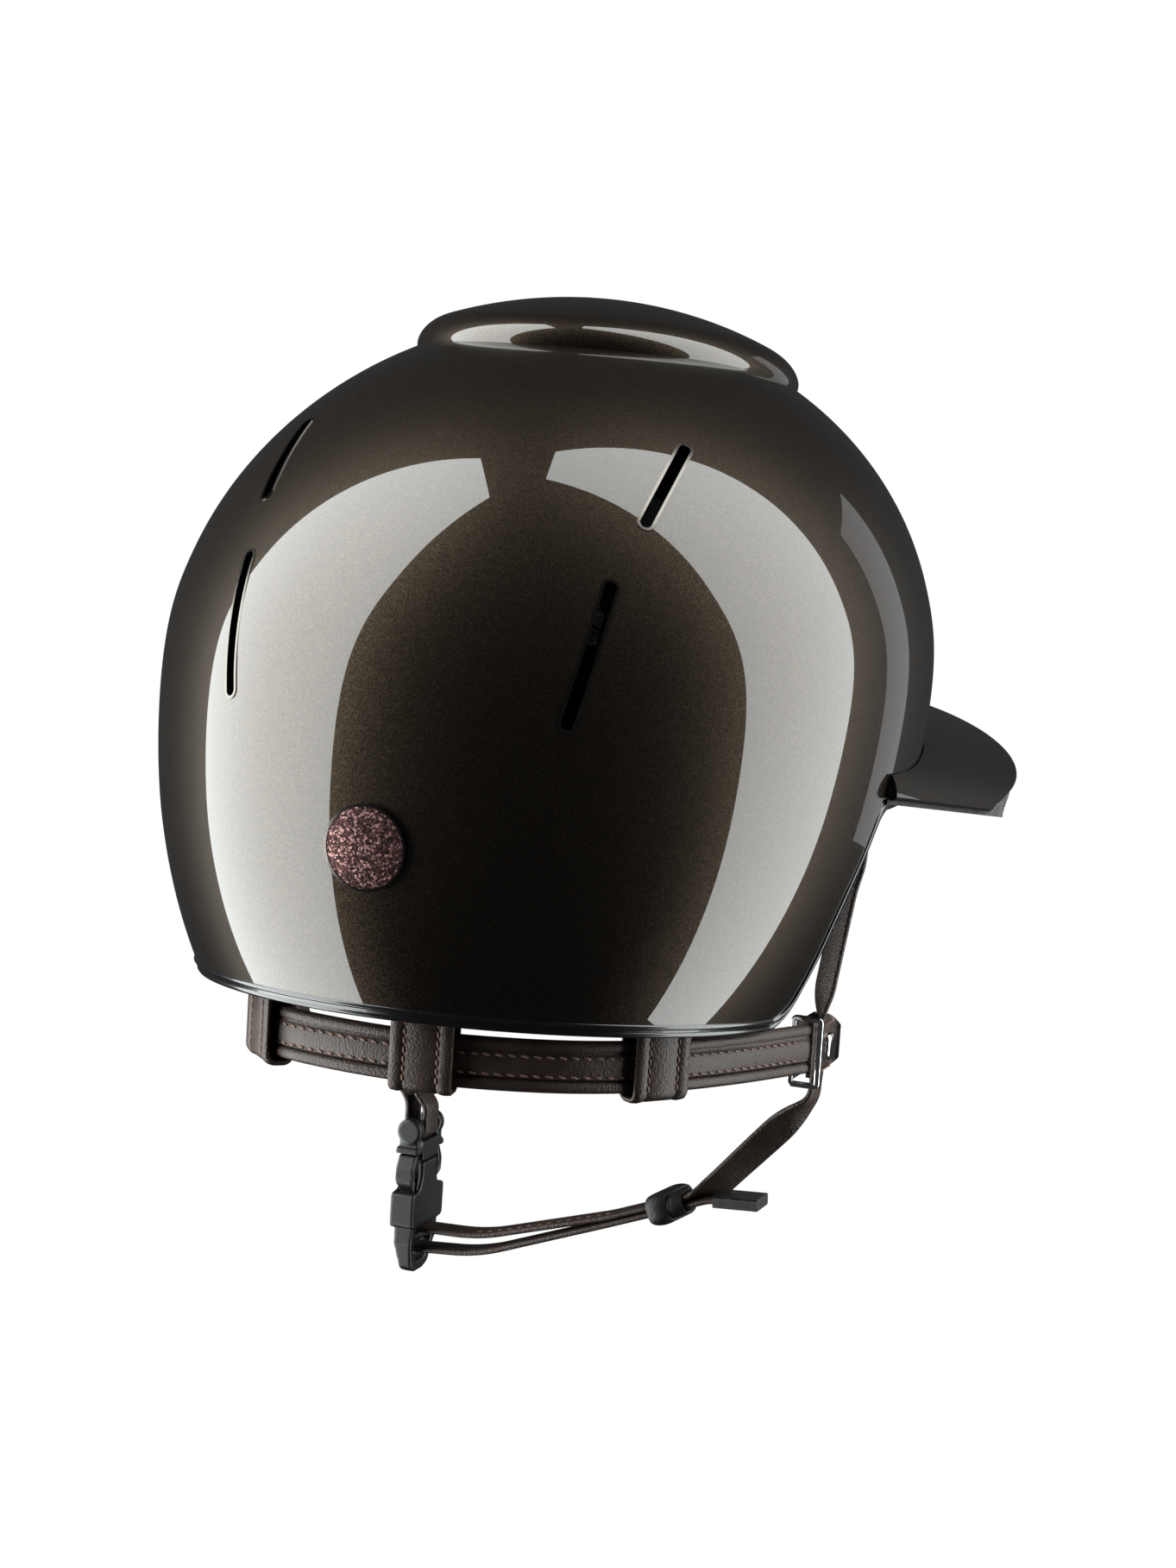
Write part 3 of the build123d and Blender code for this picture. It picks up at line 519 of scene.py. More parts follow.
# Peak: a painted arched plate with a soft rolled edge, fixed over the brow. Its underside
# holds a woven lining.
peak_root_y = 0.016
peak_tip = 0.212
peak_root_half = 0.1155
peak_front_half = 0.130
peak_rise = 0.045
peak_root_z = -0.028
peak_slope = 0.13
peak_wall = 0.003
peak_spokes = 170
peak_rows = 44
roll_steps = 8
peak_seat = 0.0004
seat_steps = 300
halvings = 30
plan_middle_y = -0.06


def evenly(points, count):
    """That many points of a line, spaced evenly along it."""
    reach = [0.0]
    for before, after in zip(points, points[1:]):
        reach.append(reach[-1] + (after - before).length)
    line = []
    place = 0
    for step in range(count):
        goal = reach[-1] * step / (count - 1)
        while place < len(points) - 2 and reach[place + 1] < goal:
            place += 1
        span = max(1e-9, reach[place + 1] - reach[place])
        line.append(points[place].lerp(points[place + 1], min(1.0, (goal - reach[place]) / span)))
    return line


def peak_point(x, y):
    """Point of the peak's upper face above a place in plan."""
    ahead = (peak_root_y - y) / (peak_root_y + peak_tip + 0.006)
    half = peak_root_half + (peak_front_half - peak_root_half) * ahead
    share = min(0.9995, abs(x) / half)
    base = peak_root_z - (peak_root_y - y) * peak_slope
    out_x = half * share if x > 0 else -half * share
    return Vector((out_x, y, base + peak_rise * sqrt(1 - share**2)))


def peak_up(x, y):
    """Upward direction of the peak's upper face above a place in plan."""
    step = 0.0005
    inward = -step if x > 0 else step
    here = peak_point(x, y)
    across = (peak_point(x + inward, y) - here) * (1 if x < 0 else -1)
    return across.cross(peak_point(x, y + step) - here).normalized()


plan = [(nodes["peak"].matrix_world @ vertex.co).xy for vertex in nodes["peak"].data.vertices]
outline = [plan[index] for index in convex_hull_2d(plan)]
outline.sort(key=lambda spot: atan2(spot.x, plan_middle_y - spot.y))
outline = evenly(outline, peak_spokes)
seat = []
for step in range(seat_steps + 1):
    x = (half_width - 0.0006) * sin(pi * (step / seat_steps - 0.5))
    outside = -front_reach - 0.004
    inside = peak_root_y
    for _ in range(halvings):
        middle_y = (outside + inside) / 2
        if form_value(peak_point(x, middle_y), -peak_seat) < 0:
            inside = middle_y
        else:
            outside = middle_y
    seat.append(Vector((x, inside)))
seat = [Vector((seat[0].x, peak_root_y))] + seat + [Vector((seat[-1].x, peak_root_y))]
seat = evenly(seat, peak_spokes)
points = []
roll = peak_wall / 2
for near, far in zip(seat, outline):
    upper = []
    for row in range(peak_rows + 1):
        spot = near.lerp(far, sin(pi / 2 * row / peak_rows))
        upper.append((peak_point(spot.x, spot.y), peak_up(spot.x, spot.y)))
    edge, up = upper[-1]
    out = (edge - upper[0][0]).normalized()
    out = (out - up * out.dot(up)).normalized()
    ring = [point - out * roll * (row / peak_rows) for row, (point, _) in enumerate(upper)]
    middle = ring[-1] - up * roll
    for step in range(1, roll_steps):
        angle = pi * step / roll_steps
        ring.append(middle + up * roll * cos(angle) + out * roll * sin(angle))
    for row in range(peak_rows, -1, -1):
        ring.append(ring[row] - upper[row][1] * peak_wall)
    points.extend(ring)
ring_size = 2 * (peak_rows + 1) + roll_steps - 1
faces = []
for spoke in range(peak_spokes - 1):
    for row in range(ring_size):
        nearest = spoke * ring_size + row
        beside = spoke * ring_size + (row + 1) % ring_size
        faces.append([nearest, nearest + ring_size, beside + ring_size, beside])
faces.append(list(range(ring_size)))
faces.append(list(range((peak_spokes - 1) * ring_size, peak_spokes * ring_size))[::-1])
peak = new_object("peak_skin", points, faces)
outward(peak)
bpy.ops.object.shade_smooth_by_angle(angle=radians(50))
dressed(peak, paint, "peak")

# Peak lining, vent lips, air intake and badge keep the shapes of their moulded parts, each
# in its own finish: woven cloth, dark bright metal, satin plastic and set glitter.
def bumped(material, surface, height, depth, strength=1.0):
    """Relief on a surface from a height."""
    bump = material.node_tree.nodes.new("ShaderNodeBump")
    bump.inputs["Distance"].default_value = depth
    bump.inputs["Strength"].default_value = strength
    material.node_tree.links.new(height, bump.inputs["Height"])
    material.node_tree.links.new(bump.outputs["Normal"], surface.inputs["Normal"])


def roughened(material, surface, source, low_rough, high_rough):
    """Roughness of a surface that follows a source from one value to another."""
    span = material.node_tree.nodes.new("ShaderNodeMapRange")
    span.inputs["To Min"].default_value = low_rough
    span.inputs["To Max"].default_value = high_rough
    material.node_tree.links.new(source, span.inputs["Value"])
    material.node_tree.links.new(span.outputs["Result"], surface.inputs["Roughness"])


def placed(material, kind, scale):
    """Texture of a kind at a scale, laid out in the object's own coordinates."""
    where = material.node_tree.nodes.new("ShaderNodeTexCoord")
    texture = material.node_tree.nodes.new(kind)
    texture.inputs["Scale"].default_value = scale
    material.node_tree.links.new(where.outputs["Object"], texture.inputs["Vector"])
    return texture


def grain(material, surface, scale, depth, kind="ShaderNodeTexNoise", rough_span=None):
    """Fine relief on a surface, and a roughness that varies with it if a span is given."""
    texture = placed(material, kind, scale)
    height = texture.outputs["Fac" if kind == "ShaderNodeTexNoise" else "Distance"]
    bumped(material, surface, height, depth)
    if rough_span:
        roughened(material, surface, height, *rough_span)


def weave(name, dark, light, thread):
    """Plain woven or knitted cloth, its threads crossing at the given pitch."""
    material, surface = finish(name, dark, 0.9)
    links = material.node_tree.links
    bands = []
    for axis in ("X", "Y", "Z"):
        band = placed(material, "ShaderNodeTexWave", 0.314 / thread)
        band.bands_direction = axis
        band.inputs["Distortion"].default_value = 0.6
        bands.append(band.outputs["Fac"])
    height = bands[0]
    for operation, other in (("MULTIPLY", bands[1]), ("ADD", bands[2])):
        sums = material.node_tree.nodes.new("ShaderNodeMath")
        sums.operation = operation
        links.new(height, sums.inputs[0])
        links.new(other, sums.inputs[1])
        height = sums.outputs["Value"]
    toned(material, height, surface.inputs["Base Color"], (0, dark), (1, light))
    bumped(material, surface, height, thread * 0.4)
    surface.inputs["Sheen Weight"].default_value = 0.4
    surface.inputs["Sheen Roughness"].default_value = 0.5
    return material


lining_cloth = weave("black_lining_cloth", (0.006, 0.006, 0.006), (0.020, 0.019, 0.018), 0.0007)
coat(lining_cloth, "peak_lining")

lip_metal, lip_surface = finish("dark_bright_metal", (0.11, 0.10, 0.09), 0.16, 1.0)
grain(lip_metal, lip_surface, 2200, 0.00001, rough_span=(0.10, 0.22))
bezels = [name for name in nodes if name.startswith("vent_bezel")]
coat(lip_metal, "badge_ring", "intake_bezel", *bezels)

black_plastic, plastic_surface = finish("satin_black_plastic", (0.0075, 0.0078, 0.0085), 0.42)
grain(black_plastic, plastic_surface, 5200, 0.00003, rough_span=(0.34, 0.5))
coat(black_plastic, "front_grille")

glitter, glitter_surface = finish("brown_glitter", (0.10, 0.045, 0.04), 0.3, 0.85)
chips = placed(glitter, "ShaderNodeTexVoronoi", 1900)
chip_split = glitter.node_tree.nodes.new("ShaderNodeSeparateColor")
glitter.node_tree.links.new(chips.outputs["Color"], chip_split.inputs["Color"])
chip_tones = [(0.25, (0.020, 0.010, 0.010)), (0.75, (0.12, 0.055, 0.052)), (1, (0.62, 0.36, 0.33))]
toned(glitter, chip_split.outputs["Red"], glitter_surface.inputs["Base Color"], *chip_tones)
bumped(glitter, glitter_surface, chip_split.outputs["Green"], 0.0004, 0.9)
coat(glitter, "badge_disc")

# Foam liner: moulded bead foam, its beads just showing. Three quilted comfort pads line
# it: a headband, a nape pad and a crown pad, of knitted cloth over soft foam.
bead_foam, foam_surface = finish("black_bead_foam", (0.011, 0.011, 0.012), 0.85)
grain(bead_foam, foam_surface, 330, 0.0004, kind="ShaderNodeTexVoronoi")
coat(bead_foam, "foam_liner")

pad_cloth = weave("charcoal_knit", (0.010, 0.010, 0.011), (0.045, 0.044, 0.044), 0.0009)
quilt_depth = 0.0016
quilt_pitch = 0.016
quilt_sink = 1.1
quilt_fullness = 1.6
head_radius = 0.085
pad_remesh = 0.0025
for node_name in ("headband_pad", "nape_pad", "crown_pad"):
    pad = nodes[node_name].copy()
    pad.data = nodes[node_name].data.copy()
    pad.parent = None
    pad.name = node_name + "_quilted"
    for key in [key for key in pad.keys() if key.startswith("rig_")]:
        del pad[key]
    scene.collection.objects.link(pad)
    select_only(pad)
    apply_modifier(pad, "WELD", merge_threshold=0.00002)
    apply_modifier(pad, "REMESH", mode="VOXEL", voxel_size=pad_remesh)
    apply_modifier(pad, "SMOOTH", iterations=8, factor=0.6)
    moves = []
    for vertex in pad.data.vertices:
        around = vertex.co.xy.angle_signed(Vector((0, 1)), 0) * head_radius
        rising = abs(sin(pi * (around + vertex.co.z) / quilt_pitch))
        falling = abs(sin(pi * (around - vertex.co.z) / quilt_pitch))
        swell = min(1.0, quilt_fullness * rising * falling) - quilt_sink
        moves.append(vertex.normal * quilt_depth * swell)
    for vertex, move in zip(pad.data.vertices, moves):
        vertex.co += move
    pad.data.shade_smooth()
    dressed(pad, pad_cloth, node_name)


# Leather of the harness: dark brown, fine-grained and satin, a little lighter in soft
# random clouds. Thread is a tan polyester, the bar-tacks a redder brown.
def leather(name, dark, light, rough):
    """Fine-grained leather between two tones, with pores and creases in its relief."""
    material, surface = finish(name, dark, rough)
    grain(material, surface, 1500, 0.00012, kind="ShaderNodeTexVoronoi")
    clouds = placed(material, "ShaderNodeTexNoise", 130)
    clouds.inputs["Detail"].default_value = 6
    toned(material, clouds.outputs["Fac"], surface.inputs["Base Color"], (0.35, dark), (0.7, light))
    roughened(material, surface, clouds.outputs["Fac"], rough - 0.08, rough + 0.10)
    surface.inputs["Specular IOR Level"].default_value = 0.36
    return material


brown_leather = leather(
    "dark_brown_leather", (0.030, 0.0185, 0.0140), (0.050, 0.0325, 0.0260), 0.46
)
black_leather = leather("black_leather", (0.008, 0.008, 0.0085), (0.017, 0.0165, 0.017), 0.5)


def grained(name, colour, rough, scale, depth, metal=0.0, rough_span=None):
    """New material with an even finish and a fine grain in its relief."""
    material, surface = finish(name, colour, rough, metal)
    grain(material, surface, scale, depth, rough_span=rough_span)
    return material


tan_thread = grained("tan_thread", (0.19, 0.105, 0.075), 0.6, 9000, 0.00004)
red_thread = grained("red_brown_thread", (0.105, 0.038, 0.022), 0.7, 9000, 0.00004)


def sweep(name, path, across, section, closed=False):
    """Strap whose section, as (out, across) pairs, is carried along a path."""
    points = []
    count = len(path)
    for index, spot in enumerate(path):
        if closed:
            tangent = (path[(index + 1) % count] - path[index - 1]).normalized()
        else:
            tangent = (path[min(index + 1, count - 1)] - path[max(index - 1, 0)]).normalized()
        wide = across[index] if isinstance(across, list) else across
        wide = (wide - tangent * wide.dot(tangent)).normalized()
        out = wide.cross(tangent)
        for push, shift in section:
            points.append(spot + out * push + wide * shift)
    size = len(section)
    faces = []
    for index in range(count if closed else count - 1):
        here = index * size
        there = (index + 1) % count * size
        for k in range(size):
            beside = (k + 1) % size
            faces.append([here + k, here + beside, there + beside, there + k])
    if not closed:
        faces.append(list(range(size))[::-1])
        faces.append(list(range((count - 1) * size, count * size)))
    piece = new_object(name, points, faces)
    outward(piece)
    bpy.ops.object.shade_smooth_by_angle(angle=radians(42))
    return piece


def round_edged(thick, width, steps=5):
    """Section of a plain strap: flat faces and half-round edges."""
    radius = thick / 2
    section = []
    for side in (1, -1):
        for step in range(steps + 1):
            angle = pi * step / steps
            shift = width / 2 - radius + radius * sin(angle)
            section.append((side * radius * cos(angle), side * shift))
    return section


bpy.ops.object.select_all(action="DESELECT")
bpy.ops.mesh.primitive_uv_sphere_add(segments=8, ring_count=5, radius=1)
stitch_form = bpy.context.object
stitch_points = [vertex.co.copy() for vertex in stitch_form.data.vertices]
stitch_faces = [list(face.vertices) for face in stitch_form.data.polygons]
bpy.data.objects.remove(stitch_form)


def stitches(name, spots, thread, length=0.0024, thick=0.00075, body="root"):
    """Row of stitches, each at (place, along, out), half sunk in the leather of a body."""
    points = []
    faces = []
    for place, along, out in spots:
        along = (along - out * along.dot(out)).normalized()
        side = out.cross(along)
        first = len(points)
        for point in stitch_points:
            bow = 1 - 0.5 * point.x**2
            flat = along * point.x * length / 2 + side * point.y * thick / 2
            points.append(place + flat + out * point.z * thick / 2 * bow)
        faces.extend([[first + k for k in face] for face in stitch_faces])
    piece = new_object(name, points, faces)
    piece.data.shade_smooth()
    piece.data.materials.append(thread)
    if body:
        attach(piece, body)
    return piece


def along_path(path, pitch, start=0.0, stop=0.0):
    """Places and directions along a path at an even pitch, clear of its two ends."""
    length = sum((after - before).length for before, after in zip(path, path[1:]))
    count = max(2, int((length - start - stop) / pitch))
    fine = evenly(path, 6 * count + 1)
    spots = []
    for index in range(1, 6 * count, 6):
        gone = length * index / (6 * count)
        if start <= gone <= length - stop:
            spots.append((fine[index], (fine[index + 1] - fine[index - 1]).normalized()))
    return spots


# Nape band: a flat padded leather strap round the back of the head, its two edges turned
# over a piping cord and stitched down in two rows, hung under the rim in three loops.
band_shares = [
    (-0.7105, 0.3566),
    (-0.5833, 0.5736),
    (-0.3772, 0.7481),
    (-0.0965, 0.8411),
    (0.1842, 0.8217),
    (0.3728, 0.7364),
    (0.5219, 0.5116),
    (0.6228, 0.2946),
]
right_junction = -0.0925
left_junction = 0.0795
band_start_y = 0.014
band_height = 0.015
band_low_z = -0.1073
band_pivot_y = 0.110
band_droop = radians(2.1)
band_up = Vector((0, -sin(band_droop), cos(band_droop)))
band_plan = [Vector((right_junction, band_start_y))]
band_plan += [Vector((x * half_width, y * rear_reach)) for x, y in band_shares]
band_plan += [Vector((left_junction, band_start_y))]


def through(points, steps=10):
    """Smooth line through points, each stretch a curve that eases into the next."""
    line = []
    ends = [2 * points[0] - points[1]] + points + [2 * points[-1] - points[-2]]
    for a, b, c, d in zip(ends, ends[1:], ends[2:], ends[3:]):
        for step in range(steps):
            t = step / steps
            bend = (2 * a - 5 * b + 4 * c - d) * t**2 + (3 * b - a - 3 * c + d) * t**3
            line.append(0.5 * (2 * b + (c - a) * t + bend))
    return line + [points[-1]]


def on_band_plane(plan):
    """Point of the band's sloping plane at its lower edge, above a place in plan."""
    away = plan.y - band_pivot_y
    y = band_pivot_y + away * cos(band_droop)
    return Vector((plan.x, y, band_low_z + away * sin(band_droop)))


band_path = evenly([on_band_plane(point) for point in through(band_plan)], 150)
bead = 0.00185
panel = 0.0018
row_inset = 2 * bead + 0.0011
groove = [(0.00125, 0.0001), (panel, 0.0006), (panel - 0.0003, 0.0011), (panel, 0.0017)]


def rolled(centre, turns):
    """Part of the round edge over a cord, by half turns about the cord's centre."""
    return [(bead * cos(pi * t) + 0.0001, centre + bead * sin(pi * t)) for t in turns]


band_section = rolled(bead, (-0.5, -0.3, -0.1, 0.1, 0.3, 0.5))
band_section += [(push, 2 * bead + rise) for push, rise in groove]
band_section.append((panel + 0.0001, band_height / 2))
band_section += [(push, band_height - 2 * bead - rise) for push, rise in groove[::-1]]
band_section += rolled(band_height - bead, (-0.3, -0.1, 0.1, 0.3, 0.5))
band_section += [(-0.0013, band_height - 0.0008), (-0.0017, band_height - 0.003)]
band_section += [(-0.0017, 0.003), (-0.0013, 0.0008)]
band = sweep("nape_band_leather", band_path, band_up, band_section)
dressed(band, brown_leather, "nape_band")
spots = []
for height in (row_inset, band_height - row_inset):
    for place, along in along_path(band_path, 0.0033, 0.006, 0.006):
        out = band_up.cross(along).normalized()
        sunk = band_up * height + out * (panel - 0.0001)
        spots.append((place + sunk, along + band_up * 0.22, out))
stitches("nape_band_stitches", spots, tan_thread)

# Hanging loops: each is a strip of leather folded round the band, its two plies stitched
# side by side above it and riveted to a boss inside the shell. The rows run up both sides
# of its face, and the middle loop is closed by a dense bar-tack under the rim.
loop_stations = {"left": 6, "centre": 4, "right": 2}
loop_width = 0.018
loop_ply = 0.0015
loop_hug = 0.0037
loop_top_z = -0.064
loop_row = 0.0048
tack_stitches = 44
tack_span = 0.0156
half = loop_width / 2
loop_half = [(-0.00075, 0.0), (-0.00075, 0.0042), (-0.00045, loop_row), (-0.00085, 0.0056)]
loop_half += [(-0.00100, 0.0068), (-0.0008, half - 0.0005), (-0.0003, half), (0.0004, half)]
loop_half += [(0.00075, half - 0.0005), (0.00075, 0.0045)]
loop_section = loop_half + [(push, -shift) for push, shift in loop_half[:0:-1]]
steel = grained("brushed_steel", (0.42, 0.42, 0.42), 0.3, 3000, 0.00001, 1.0, (0.22, 0.4))
for name, index in loop_stations.items():
    spot = on_band_plane(band_plan[index])
    nearest = min(range(len(band_path)), key=lambda k: (band_path[k] - spot).length)
    along = (band_path[nearest + 1] - band_path[nearest - 1]).normalized()
    along.z = 0
    along.normalize()
    out = Vector((-along.y, along.x, 0))
    low_z = -0.0006 - loop_ply / 2
    high_z = band_height + 0.0012
    top = loop_top_z - spot.z
    corners = [
        (-0.00078, top),
        (-0.00078, high_z + 0.010),
        (-loop_hug, high_z + 0.001),
        (-loop_hug, low_z),
        (loop_hug, low_z),
        (loop_hug, high_z + 0.0045),
        (0.00078, high_z + 0.0125),
        (0.00078, top),
    ]
    line = rounded(corners, [0.006, 0.004, 0.0024, 0.0026, 0.009, 0.009])
    path = [spot + out * point.x + Vector((0, 0, point.y)) for point in line]
    loop = sweep("nape_loop_" + name + "_leather", path, along, loop_section)
    dressed(loop, brown_leather, "nape_loop_" + name)
    spots = []
    for side in (-1, 1):
        for step in range(7):
            height = Vector((0, 0, low_z + 0.0035 + step * 0.0026))
            place = spot + out * (loop_hug + 0.0007) + along * side * loop_row + height
            spots.append((place, Vector((0, 0, 1)) + along * 0.12, out))
    stitches("nape_loop_" + name + "_stitches", spots, tan_thread, length=0.0021)
    if name == "centre":
        spots = []
        for step in range(tack_stitches):
            shift = tack_span * (step / (tack_stitches - 1) - 0.5)
            tilt = 1 if step % 2 else -1
            for level in (0, 0.0011):
                height = Vector((0, 0, high_z + 0.0022 + level))
                place = spot + out * (loop_hug + 0.0010) + along * shift + height
                spots.append((place, Vector((0, 0, 1)) + along * 0.55 * tilt, out))
        stitches("nape_loop_bar_tack", spots, red_thread, length=0.0022, thick=0.0006)
    coat(black_plastic, "loop_boss_" + name)
    coat(steel, "loop_rivet_" + name)

# Junctions below the ears: a leather tab and a flap with a press stud close over the front
# strap, and a bright rectangular ring joins them to the nape band.
bright_chrome = grained(
    "bright_chrome", (0.78, 0.78, 0.78), 0.07, 1500, 0.000005, 1.0, (0.05, 0.12)
)


def plate(name, node_name, corner, body, spare=0.0):
    """Leather plate in the place of a flat moulded part, its corners and edges rounded."""
    corner_low, corner_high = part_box(node_name)
    corner_high.y -= spare
    bpy.ops.object.select_all(action="DESELECT")
    bpy.ops.mesh.primitive_cube_add(size=1)
    piece = bpy.context.object
    piece.name = name
    size = corner_high - corner_low
    middle = (corner_high + corner_low) / 2
    for vertex in piece.data.vertices:
        vertex.co = vertex.co * size + middle
    bpy.ops.object.mode_set(mode="EDIT")
    edit = bmesh.from_edit_mesh(piece.data)
    for edge in edit.edges:
        ends = edge.verts
        edge.select = abs(ends[0].co.x - ends[1].co.x) > size.x * 0.9
    edit.select_flush_mode()
    bmesh.update_edit_mesh(piece.data)
    bpy.ops.mesh.bevel(offset=corner, segments=6, affect="EDGES")
    bpy.ops.object.mode_set(mode="OBJECT")
    soft_edge = {"width": 0.00055, "segments": 3, "limit_method": "ANGLE"}
    apply_modifier(piece, "BEVEL", angle_limit=radians(40), **soft_edge)
    select_only(piece)
    bpy.ops.object.shade_smooth_by_angle(angle=radians(45))
    dressed(piece, brown_leather, node_name, body)


for name, side in (("right", -1), ("left", 1)):
    plate("junction_tab_" + name + "_leather", "junction_tab_" + name, 0.0028, "root")
    flap_node = "stud_flap_" + name
    spare = 0.0018 if side < 0 else 0.0036
    plate(flap_node + "_leather", flap_node, 0.0034, "flap_" + name, spare)
    flap_low, flap_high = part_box(flap_node)
    face_x = flap_low.x if side < 0 else flap_high.x
    spots = []
    for level in (flap_low.z + 0.0016, flap_high.z - 0.0016):
        for step in range(6):
            place = Vector((face_x, flap_low.y + 0.0048 + step * 0.0026, level))
            spots.append((place, Vector((0, 1, 0.1)), Vector((side, 0, 0))))
    stitches(flap_node + "_stitches", spots, tan_thread, length=0.0019, body="flap_" + name)
    coat(bright_chrome, "junction_ring_" + name, "stud_cap_" + name, "stud_post_" + name)
    coat(black_plastic, "strap_boss_" + name)
    coat(steel, "strap_rivet_" + name)

# Front straps: flat leather with half-round edges, from a rivet inside each temple down
# to the junction, turning edge-on once on the way.
strap_y = -0.002
strap_width = 0.010
strap_thick = 0.0018
anchor_x = 0.1045
strap_section = round_edged(strap_thick, strap_width)
front_routes = {
    "right": [(-anchor_x, -0.010), (-0.1038, -0.033), (-0.0976, -0.056)],
    "left": [(anchor_x, -0.010), (0.1038, -0.033), (0.0915, -0.058)],
}
front_routes["right"] += [(right_junction, -0.092), (right_junction, -0.113)]
front_routes["left"] += [(left_junction, -0.092), (left_junction, -0.113)]


def in_strap_plane(line):
    """Points of the straps' upright plane, from pairs of x and z."""
    return [Vector((point[0], strap_y, point[1])) for point in line]


def turned(path, turns):
    """Width directions along a path, turned from Y by angles at shares of its length."""
    widths = []
    for index in range(len(path)):
        share = index / (len(path) - 1)
        angle = 0.0
        for (start, low_turn), (end, high_turn) in zip(turns, turns[1:]):
            if start <= share <= end:
                ease = (share - start) / (end - start)
                angle = low_turn + (high_turn - low_turn) * ease * ease * (3 - 2 * ease)
        ahead = path[min(index + 1, len(path) - 1)]
        tangent = (ahead - path[max(index - 1, 0)]).normalized()
        widths.append(Matrix.Rotation(radians(angle), 3, tangent) @ Vector((0, 1, 0)))
    return widths


for name, side in (("right", -1), ("left", 1)):
    line = rounded(front_routes[name], [0.024, 0.060, 0.024])
    path = evenly(in_strap_plane(line), 90)
    twist = [(0.0, 0), (0.20, 0), (0.40, side * 50), (0.74, side * 48), (0.92, 0), (1.0, 0)]
    widths = turned(path, twist)
    strap = sweep("front_strap_" + name + "_leather", path, widths, strap_section)
    dressed(strap, brown_leather, "front_strap_" + name)

# Chin strap: one length of leather that hangs from the right junction, turns its face on
# the way down, passes through the keeper, goes round the buckle's lower bar and comes back
# through the keeper to end in a metal clip.
buckle_x = 0.035
lower_bar_z = -0.1835
wrap_radius = 0.0033
wrap_x = buckle_x + 0.001
upper_z = lower_bar_z + wrap_radius
lower_z = lower_bar_z - wrap_radius
keeper_low = Vector((-0.030, -0.167))
keeper_high = Vector((-0.062, -0.1545))
fall = (keeper_low - keeper_high).normalized()
strand_pitch = strap_thick + 0.00035
under = Vector((fall.y, -fall.x)) * strand_pitch
chin_corners = [
    (right_junction, -0.1133),
    (right_junction + 0.0005, -0.121),
    (-0.074, -0.141),
    tuple(keeper_high),
    tuple(keeper_low),
    (0.012, upper_z + 0.0006),
    (wrap_x - 0.002, upper_z),
    (wrap_x + wrap_radius, upper_z),
    (wrap_x + wrap_radius, lower_z),
    (wrap_x - 0.002, lower_z),
    (0.012, lower_z + 0.0016),
    tuple(keeper_low + under),
    tuple(keeper_high + under),
    (-0.0775, -0.1556),
]
chin_radii = [0.008, 0.040, 0.014, 0.060, 0.060, 0.020, wrap_radius]
chin_radii += [wrap_radius, 0.020, 0.060, 0.060, 0.014]
chin_path = evenly(in_strap_plane(rounded(chin_corners, chin_radii, steps=10)), 420)
total = sum((after - before).length for before, after in zip(chin_path, chin_path[1:]))
first_run = 0.062 / total
twist = [(0.0, 0), (0.06 * first_run, 0), (0.38 * first_run, 58), (0.80 * first_run, 50)]
twist += [(first_run, 0), (1.0, 0)]
chin = sweep("chin_strap_leather", chin_path, turned(chin_path, twist), strap_section)
dressed(chin, brown_leather, "chin_strap", body=None)
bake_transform(chin)

# Keeper: a soft black leather sleeve over both strands, with a second turn crossed over
# it. It slides along them.
keeper_middle = keeper_high + fall * ((-0.049 - keeper_high.x) / fall.x) + under / 2
keeper_centre = Vector((keeper_middle.x, strap_y, keeper_middle.y))
keeper_along = Vector((fall.x, 0, fall.y))
keeper_up = Vector((0, 1, 0)).cross(keeper_along).normalized()
keeper_pieces = []
for length, swell, tilt, grow in ((0.0115, 0.0004, 0.0, 0.0), (0.0055, 0.0006, 0.16, 0.0010)):
    half_wide = strap_width / 2 + 0.0010 + grow
    half_high = (strand_pitch + strap_thick) / 2 + 0.0010 + grow
    corners = [(0, half_high), (half_wide, half_high), (half_wide, -half_high)]
    corners += [(-half_wide, -half_high), (-half_wide, half_high), (0, half_high)]
    line = rounded(corners, [0.0026] * 4)[:-1]
    slant = Vector((0, 1, 0)) + keeper_along * tilt * 2
    path = [keeper_centre + slant * point.x + keeper_up * point.y for point in line]
    section = []
    for step in range(14):
        angle = 2 * pi * step / 14
        push = 0.0007 * cos(angle) * (1 + 0.6 * abs(cos(angle)))
        section.append((push, (length / 2 + swell) * sin(angle)))
    keeper_pieces.append(sweep("keeper_turn", path, keeper_along, section, closed=True))
select_only(*keeper_pieces)
bpy.ops.object.join()
keeper = bpy.context.object
keeper.name = "keeper_leather"
dressed(keeper, black_leather, "keeper", "keeper")

dark_chrome = grained(
    "dark_chrome", (0.48, 0.48, 0.49), 0.24, 1500, 0.000005, 1.0, (0.18, 0.30)
)
coat(dark_chrome, "strap_end_clip")

